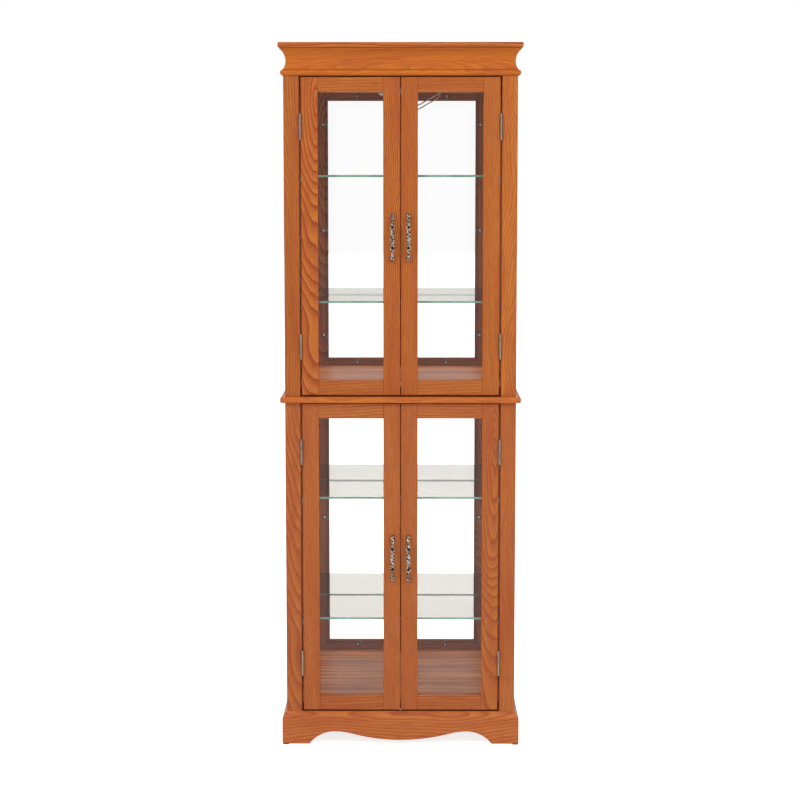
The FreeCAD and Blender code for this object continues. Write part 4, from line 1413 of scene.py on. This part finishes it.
def finish_mesh(piece: Piece, rounds: int = 0, angle: float = 40.0) -> Piece:
    """Close, turn outwards, smooth and shade a modelled mesh.

    Args:
        piece: The object in edit mode.
        rounds: Levels of subdivision.
        angle: Edges sharper than this many degrees stay crisp.

    Returns:
        The same object.
    """
    bpy.ops.mesh.select_all(action="SELECT")
    bpy.ops.mesh.remove_doubles(threshold=1e-6)
    bpy.ops.mesh.normals_make_consistent(inside=False)
    take(piece)
    if rounds:
        smooth = piece.modifiers.new("smooth", "SUBSURF")
        smooth.levels = rounds
        smooth.render_levels = rounds
        bpy.ops.object.modifier_apply(modifier=smooth.name)
    bpy.ops.object.shade_smooth_by_angle(angle=math.radians(angle))
    return piece


def copied(master: Piece, name: str, moves: list[Matrix]) -> Piece:
    """Copy a finished mesh to several places and join the copies into one piece.

    Args:
        master: The finished mesh, which stays as it is.
        name: The new piece's name.
        moves: One matrix for each copy.

    Returns:
        The joined piece, with its places in its mesh.
    """
    copies = []
    for move in moves:
        mesh = master.data.copy()
        mesh.transform(move)
        if move.determinant() < 0:
            mesh.flip_normals()
        copy = bpy.data.objects.new(name, mesh)
        bpy.context.scene.collection.objects.link(copy)
        copies.append(copy)
    take(*copies)
    if len(copies) > 1:
        bpy.ops.object.join()
    copies[0].name = name
    return copies[0]


@dataclass(frozen=True)
class Station:
    """One ring of a drawn-out stem: its middle, its two half widths and its turn on the way."""

    place: Point
    wide: float
    deep: float
    turn: float = 0.0


@dataclass
class Stem:
    """A stem drawn out of a flat disc, ring by ring, as metal is drawn out.

    Attributes:
        stations: Its rings in millimetres, from the first to the last.
        sides: The number of points round it.
        fluted: How far in every second point stands, as a share of the others.
    """

    stations: list[Station]
    sides: int = 8
    fluted: float = 1.0

    def build(self) -> Piece:
        """Extrude the disc from station to station along Z, with its ends closed.

        Returns:
            The stem, still in edit mode, in metres.
        """
        first = self.stations[0]
        piece = start("circle", vertices=self.sides, radius=MM, fill_type="NGON")
        if self.fluted != 1.0:
            object_mode()
            for valley in list(piece.data.vertices)[1::2]:
                valley.co = valley.co * self.fluted
            bpy.ops.object.mode_set(mode="EDIT")
            bpy.ops.mesh.select_all(action="SELECT")
        bpy.ops.transform.resize(value=(first.wide, first.deep, 1.0), center_override=(0, 0, 0))
        bpy.ops.transform.translate(value=Vector(first.place) * MM)
        for before, after in zip(self.stations, self.stations[1:]):
            step = (Vector(after.place) - Vector(before.place)) * MM
            bpy.ops.mesh.extrude_region_move(TRANSFORM_OT_translate={"value": step})
            middle = Vector(after.place) * MM
            bpy.ops.transform.resize(
                value=(after.wide / before.wide, after.deep / before.deep, 1.0),
                center_override=middle,
            )
            if after.turn:
                bpy.ops.transform.rotate(
                    value=math.radians(after.turn), orient_axis="Z", center_override=middle
                )
        return piece


# ---------------------------------------------------------------- bow pulls


@dataclass
class BowPulls:
    """Four cast pulls with ball feet, scrolled necks and a twisted leaf in the middle.

    Attributes:
        offset: From the cabinet's middle to a pull, in millimetres, as all sizes here.
        face: The doors' front on the Y axis.
        heights: The pulls' middles above the floor, by section.
        foot: From a pull's middle to each foot.
        bow: The bow's place on the Y axis, from the doors' front.
        eye: From a pull's middle to the middle of each scroll.
        eye_floor: How far behind the bow's middle the floor of a scroll's eye lies.
    """

    offset: float = 19.8
    face: float = -148.0
    heights: dict[str, float] = field(default_factory=lambda: {"upper": 1269.0, "lower": 473.5})
    foot: float = 52.5
    bow: float = -20.9
    eye: float = 25.0
    eye_floor: float = 1.6

    def foot_knob(self) -> Piece:
        """A turned foot with a collar on the door and a ball in front.

        Returns:
            The upper foot, on the door's front.
        """
        rings = [(4.5, 0.0), (5.2, 0.7), (5.2, 1.6), (3.8, 2.6), (3.6, 3.6), (5.0, 5.0)]
        rings += [(5.9, 6.8), (5.4, 8.8), (3.5, 10.2), (1.4, 10.6)]
        stations = [Station((0.0, 0.0, up), size, size) for size, up in rings]
        piece = finish_mesh(Stem(stations, sides=12).build(), 1)
        piece.data.transform(Matrix.Rotation(math.pi / 2, 4, "X"))
        piece.data.transform(Matrix.Translation((0.0, 0.0, self.foot * MM)))
        return piece

    def neck(self) -> Piece:
        """The neck that swings out from the foot to the scroll.

        Returns:
            The upper neck.
        """
        stations = [
            Station((0.3, -6.0, 54.0), 2.4, 2.0),
            Station((0.7, -7.0, 50.5), 4.6, 3.0),
            Station((0.7, -9.4, 46.5), 4.5, 2.7),
            Station((0.3, -12.2, 42.0), 3.8, 2.3),
            Station((-0.4, -15.2, 37.5), 3.9, 2.2),
            Station((-0.9, -18.2, 33.5), 4.4, 2.2),
            Station((-2.0, -20.2, 31.0), 3.3, 2.0),
            Station((-3.6, -20.8, 28.6), 1.9, 1.7),
        ]
        return finish_mesh(Stem(stations, sides=8).build(), 2)

    def scroll(self) -> Piece:
        """An open scroll, spun about its middle out of a disc as wide as its bar.

        Returns:
            The upper scroll.
        """
        radius = 4.9
        bar = 1.65
        piece = start(
            "circle",
            vertices=8,
            radius=bar * MM,
            fill_type="NGON",
            location=(-radius * MM, self.bow * MM, self.eye * MM),
        )
        bpy.ops.mesh.spin(
            steps=16,
            angle=math.radians(290),
            center=(0.0, self.bow * MM, self.eye * MM),
            axis=(0.0, 1.0, 0.0),
        )
        return finish_mesh(piece, 1)

    def hollow(self) -> Piece:
        """The near-black floor that closes a scroll's eye behind its rim, painted shade of the deep
        eye.

        Returns:
            The floor of the upper scroll.
        """
        rings = [(4.1, 0.0), (4.3, 0.5), (3.9, 0.9), (1.8, 1.0)]
        stations = [Station((0.0, 0.0, up), size, size) for size, up in rings]
        piece = finish_mesh(Stem(stations, sides=12).build())
        piece.data.transform(Matrix.Rotation(math.pi / 2, 4, "X"))
        middle = (0.0, (self.bow + self.eye_floor) * MM, self.eye * MM)
        piece.data.transform(Matrix.Translation(middle))
        return piece

    def bead(self, place: Point, size: Point) -> Piece:
        """A cast bead, pinched a little towards its poles.

        Args:
            place: Its middle in millimetres.
            size: Its half widths in millimetres.

        Returns:
            The bead.
        """
        pinch = 0.8
        piece = start("uv_sphere", segments=12, ring_count=8, radius=MM)
        bpy.ops.transform.resize(value=size, center_override=(0, 0, 0))
        pick(piece, Pick.FACES, lambda middle: abs(middle.z) > pinch * size[2] * MM)
        bpy.ops.transform.resize(value=(pinch, pinch, 1.0), center_override=(0, 0, 0))
        bpy.ops.mesh.select_all(action="SELECT")
        bpy.ops.transform.translate(value=Vector(place) * MM)
        return finish_mesh(piece, 1)

    def leaf(self) -> Piece:
        """The middle of the bow: a fluted leaf bud that twists about its length.

        Returns:
            The leaf, across the pull's middle.
        """
        twist = 17.0
        rings = [(-16.5, 2.4), (-15.0, 4.4), (-12.5, 5.6), (-9.0, 6.3), (-5.0, 6.7), (-1.5, 6.7)]
        rings += [(1.5, 6.7), (5.0, 6.7), (9.0, 6.3), (12.5, 5.6), (15.0, 4.4), (16.5, 2.4)]
        stations = [Station((0.0, 0.0, up), size, size, twist) for up, size in rings]
        piece = finish_mesh(Stem(stations, sides=12, fluted=0.66).build(), 1, 180.0)
        piece.data.transform(Matrix.Diagonal((0.98, 0.44, 1.0, 1.0)))
        piece.data.transform(Matrix.Translation((0.0, self.bow * MM, 0.0)))
        return piece

    def build(self) -> list[Piece]:
        """Cast one pull and copy it to the four doors.

        Returns:
            The four pulls and the painted-shade floors of their scrolls' eyes, each riding on its
            door.
        """
        half = [
            self.foot_knob(),
            self.neck(),
            self.scroll(),
            self.bead((2.7, self.bow, self.eye + 4.3), (2.1, 2.1, 2.1)),
            self.bead((0.0, self.bow, 17.2), (4.9, 2.9, 2.1)),
        ]
        ends = [Matrix.Identity(4), Matrix.Rotation(math.pi, 4, "Y")]
        whole = [copied(part, "part", ends) for part in half]
        eye = self.hollow()
        eyes = copied(eye, "part", ends)
        leaf = self.leaf()
        take(leaf, *whole)
        bpy.ops.object.join()
        made = []
        for door in DOORS:
            across, up = door.sign * self.offset * MM, self.heights[door.section] * MM
            place = Matrix.Translation((across, self.face * MM, up))
            facing = Matrix.Diagonal((float(-door.sign), 1.0, 1.0, 1.0))
            pull = copied(leaf, f"{door.name}_bow_pull", [place @ facing])
            PEWTER.dress(pull)
            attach(pull, door.name)
            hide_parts(f"{door.name}_pull")
            hollows = copied(eyes, f"{door.name}_bow_pull_hollows", [place @ facing])
            SCROLL_EYE_SHADE.dress(hollows)
            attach(hollows, door.name)
            made += [pull, hollows]
        for master in (*half, eye, leaf, eyes):
            bpy.data.objects.remove(master)
        return made


# ---------------------------------------------------------------- screws and nails


@dataclass(frozen=True)
class Spot:
    """Where a fixing sits, in millimetres, and the way that its head faces."""

    place: Point
    facing: Point

    def matrix(self) -> Matrix:
        """The move from the bench, where heads look up, to the spot."""
        turn = Vector(self.facing).to_track_quat("Z", "Y").to_matrix().to_4x4()
        return Matrix.Translation(Vector(self.place) * MM) @ turn


@dataclass
class Fixings:
    """Cross head screws and panel nails, each modelled once and copied to its places.

    Attributes:
        hinge_x: From the cabinet's middle to a hinge, in millimetres, as all sizes here.
        hinge_gap: Half the gap between the two closed leaves of a hinge.
        hinge_heights: The hinges' middles above the floor, by section.
        leaf_y: The screws of the hinge leaves on the Y axis.
        screw_pitch: Between two screws of a leaf.
        door_back: The doors' back on the Y axis.
        pane_heights: The bottom and top of the doors' pane openings, by section.
        pane_sides: The inner and the outer side of a pane opening, from the cabinet's middle.
        clip_inset: From the edge of a pane opening to a clip's screw.
        clip_end: From the corner of a pane opening to its first clip.
        clip_foot: The thickness of a clip's foot.
        shelves: The undersides of the shelves.
        bracket_spot: A bracket's screw, from the middle and down from the shelf.
        bracket_depths: The front and back brackets on the Y axis.
        catch_spot: A catch's screws, from the middle and on the Y axis.
        catch_heights: The undersides of the catches' flanges.
        panel_back: The back of the back panels on the Y axis.
        panel_heights: The lowest and highest nails of each panel.
        nail_side: From the cabinet's middle to the nails at a panel's sides.
        nail_gaps: How many gaps the nails at a side stand apart by.
        nail_columns: The nails along a panel's top and bottom.
    """

    hinge_x: float = 244.75
    hinge_gap: float = 0.75
    hinge_heights: dict[str, tuple[float, float]] = field(
        default_factory=lambda: {"upper": (1001.0, 1537.0), "lower": (207.0, 740.0)}
    )
    leaf_y: float = -140.0
    screw_pitch: float = 22.0
    door_back: float = -128.0
    pane_heights: dict[str, tuple[float, float]] = field(
        default_factory=lambda: {"upper": (918.0, 1620.0), "lower": (124.0, 823.0)}
    )
    pane_sides: tuple[float, float] = (42.2, 201.5)
    clip_inset: float = 12.6
    clip_end: float = 64.0
    clip_foot: float = 2.0
    shelves: tuple[float, ...] = (311.5, 617.5, 1106.5, 1415.5)
    bracket_spot: tuple[float, float] = (245.4, 8.5)
    bracket_depths: tuple[float, float] = (-110.0, 141.0)
    catch_spot: tuple[float, float] = (24.5, -119.45)
    catch_heights: tuple[float, float] = (859.5, 1642.5)
    panel_back: float = 172.0
    panel_heights: tuple[tuple[float, float], ...] = ((89.0, 856.0), (883.0, 1654.0))
    nail_side: float = 251.5
    nail_gaps: int = 6
    nail_columns: tuple[float, ...] = (-126.0, 0.0, 126.0)

    def head(self, radius: float, rise: float) -> Piece:
        """A cross head screw as it shows: a domed head with its recess cut in.

        Args:
            radius: The head's radius in millimetres.
            rise: How far the head stands proud, in millimetres.

        Returns:
            The head, looking up, with its seat at zero.
        """
        rings = [(1.0, 0.0), (1.0, 0.35), (0.9, 0.75), (0.55, 1.0)]
        stations = [
            Station((0.0, 0.0, up * rise), size * radius, size * radius) for size, up in rings
        ]
        piece = finish_mesh(Stem(stations, sides=14).build())
        slot = (1.15 * radius * MM, 0.3 * radius * MM, rise * MM)
        cutter = start("cube", size=1.0, scale=slot)
        bpy.ops.mesh.duplicate()
        bpy.ops.transform.rotate(value=math.pi / 2, orient_axis="Z", center_override=(0, 0, 0))
        bpy.ops.mesh.select_all(action="SELECT")
        bpy.ops.transform.translate(value=(0.0, 0.0, rise * MM))
        take(piece)
        recess = piece.modifiers.new("recess", "BOOLEAN")
        recess.object = cutter
        recess.operation = "DIFFERENCE"
        recess.solver = "EXACT"
        recess.use_self = True
        bpy.ops.object.modifier_apply(modifier=recess.name)
        bpy.ops.object.shade_smooth_by_angle(angle=math.radians(35))
        bpy.data.objects.remove(cutter)
        return piece

    def nail(self) -> Piece:
        """A flat panel nail with a slightly domed head.

        Returns:
            The nail's head, looking up, with its seat at zero.
        """
        rings = [(2.2, 0.0), (2.3, 0.25), (1.9, 0.5), (0.9, 0.6)]
        stations = [Station((0.0, 0.0, up), size, size) for size, up in rings]
        return finish_mesh(Stem(stations, sides=10).build())

    def place(
        self,
        master: Piece,
        name: str,
        body: str,
        spots: list[Spot],
        finish: Finish,
    ) -> Piece:
        """Copy a fixing to its spots as one piece that rides on a body.

        Args:
            master: The fixing, modelled once.
            name: The new piece's name.
            body: The body that the piece rides on.
            spots: Where the copies sit.
            finish: The metal that they are made of.

        Returns:
            The copies as one piece.
        """
        piece = copied(master, name, [spot.matrix() for spot in spots])
        finish.dress(piece)
        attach(piece, body)
        return piece

    def leaf_spots(self, door: Door, on_door: bool) -> list[Spot]:
        """Three screws in each hinge leaf, on the post or on the door's edge.

        Args:
            door: The door that the fixings belong to.
            on_door: Whether the leaf is the door's and not the post's.

        Returns:
            Their spots.
        """
        across = self.hinge_x + (-self.hinge_gap if on_door else self.hinge_gap)
        facing = (float(door.sign if on_door else -door.sign), 0.0, 0.0)
        return [
            Spot((door.sign * across, self.leaf_y, height + step), facing)
            for height in self.hinge_heights[door.section]
            for step in (-self.screw_pitch, 0.0, self.screw_pitch)
        ]

    def clip_spots(self, door: Door) -> list[Spot]:
        """One screw in the foot of each pane clip, on the door's back.

        Args:
            door: The door that the fixings belong to.

        Returns:
            Their spots.
        """
        low, high = self.pane_heights[door.section]
        inner, outer = self.pane_sides
        back = self.door_back + self.clip_foot
        places = [
            (across, height)
            for across in (outer + self.clip_inset, inner - self.clip_inset)
            for height in (low + self.clip_end, (low + high) / 2, high - self.clip_end)
        ]
        middle = (outer + inner) / 2
        places += [(middle, high + self.clip_inset), (middle, low - self.clip_inset)]
        return [Spot((door.sign * across, back, up), BACKWARDS) for across, up in places]

    def bolt_spots(self, door: Door, pulls: BowPulls) -> list[Spot]:
        """The two bolts of a pull, whose heads lie on the door's back.

        Args:
            door: The door that the fixings belong to.
            pulls: The pulls that the bolts hold.

        Returns:
            Their spots.
        """
        height = pulls.heights[door.section]
        return [
            Spot((door.sign * pulls.offset, self.door_back, height + step), BACKWARDS)
            for step in (-pulls.foot, pulls.foot)
        ]

    def plate_spots(self, door: Door) -> list[Spot]:
        """Two sunk screws in a strike plate, on the side that meets the catch.

        Args:
            door: The door that the fixings belong to.

        Returns:
            Their spots.
        """
        low, high = (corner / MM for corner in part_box(f"{door.name}_strike_plate"))
        middle = (low + high) / 2
        reach = (high.x - low.x) / 4
        return [Spot((middle.x + step, high.y, middle.z), BACKWARDS) for step in (-reach, reach)]

    def catch_spots(self) -> list[Spot]:
        """One screw in each end of both catches' flanges, from below.

        Returns:
            Their spots.
        """
        across, deep = self.catch_spot
        return [
            Spot((sign * across, deep, under), (0.0, 0.0, -1.0))
            for under in self.catch_heights
            for sign in (-1, 1)
        ]

    def bracket_spots(self) -> list[Spot]:
        """One screw in each shelf bracket.

        Returns:
            Their spots.
        """
        across, drop = self.bracket_spot
        return [
            Spot((sign * across, deep, shelf - drop), (float(-sign), 0.0, 0.0))
            for shelf in self.shelves
            for sign in (-1, 1)
            for deep in self.bracket_depths
        ]

    def nail_spots(self) -> list[Spot]:
        """Nails round the edges of both back panels.

        Returns:
            Their spots.
        """
        places = []
        for low, high in self.panel_heights:
            places += [
                (sign * self.nail_side, low + (high - low) * step / self.nail_gaps)
                for sign in (-1, 1)
                for step in range(self.nail_gaps + 1)
            ]
            places += [(across, edge) for across in self.nail_columns for edge in (low, high)]
        return [Spot((across, self.panel_back, up), BACKWARDS) for across, up in places]

    def build(self) -> list[Piece]:
        """Make every screw and nail.

        Returns:
            The groups of fixings, each riding on its own body.
        """
        small = self.head(2.6, 0.45)
        pan = self.head(3.0, 1.5)
        large = self.head(4.0, 2.0)
        flush = self.head(2.1, 0.25)
        nail = self.nail()
        pulls = BowPulls()
        made = []
        for door in DOORS:
            for master, what, spots, finish in (
                (small, "hinge_screws", self.leaf_spots(door, True), SCREW_STEEL),
                (pan, "clip_screws", self.clip_spots(door), CLIP_SCREW),
                (large, "pull_bolts", self.bolt_spots(door, pulls), SCREW_STEEL),
                (flush, "strike_plate_screws", self.plate_spots(door), SCREW_STEEL),
            ):
                made.append(self.place(master, f"{door.name}_{what}", door.name, spots, finish))
        frame_spots = [spot for door in DOORS for spot in self.leaf_spots(door, False)]
        for master, name, spots, finish in (
            (small, "frame_hinge_screws", frame_spots, SCREW_STEEL),
            (small, "catch_screws", self.catch_spots(), SCREW_STEEL),
            (small, "bracket_screws", self.bracket_spots(), SCREW_STEEL),
            (nail, "back_panel_nails", self.nail_spots(), NAIL_STEEL),
        ):
            made.append(self.place(master, name, "cabinet", spots, finish))
        for master in (small, pan, large, flush, nail):
            bpy.data.objects.remove(master)
        return made


def main() -> None:
    """Build the studio, the lead, the dressed solids and the modelled fittings, in that order."""
    logging.basicConfig(level=logging.INFO, format="%(name)s: %(message)s")
    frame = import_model()
    studio = Studio()
    studio.place_camera()
    lead = LampLead().build()
    LOG.info("%s hangs under the ceiling", lead.name)
    studio.light_world()
    studio.lay_floor()
    studio.hang_lamps()
    FrameDressing(frame["nodes"]).dress()
    for piece in BowPulls().build() + Fixings().build():
        LOG.info("%s is modelled, with %d faces", piece.name, len(piece.data.polygons))
    bpy.context.scene.view_settings.view_transform = "Standard"
    # sight passes many panes and shelves on its way to the mirror and back
    bpy.context.scene.cycles.transparent_max_bounces = CLEAR_LAYERS


if __name__ == "__main__":
    main()
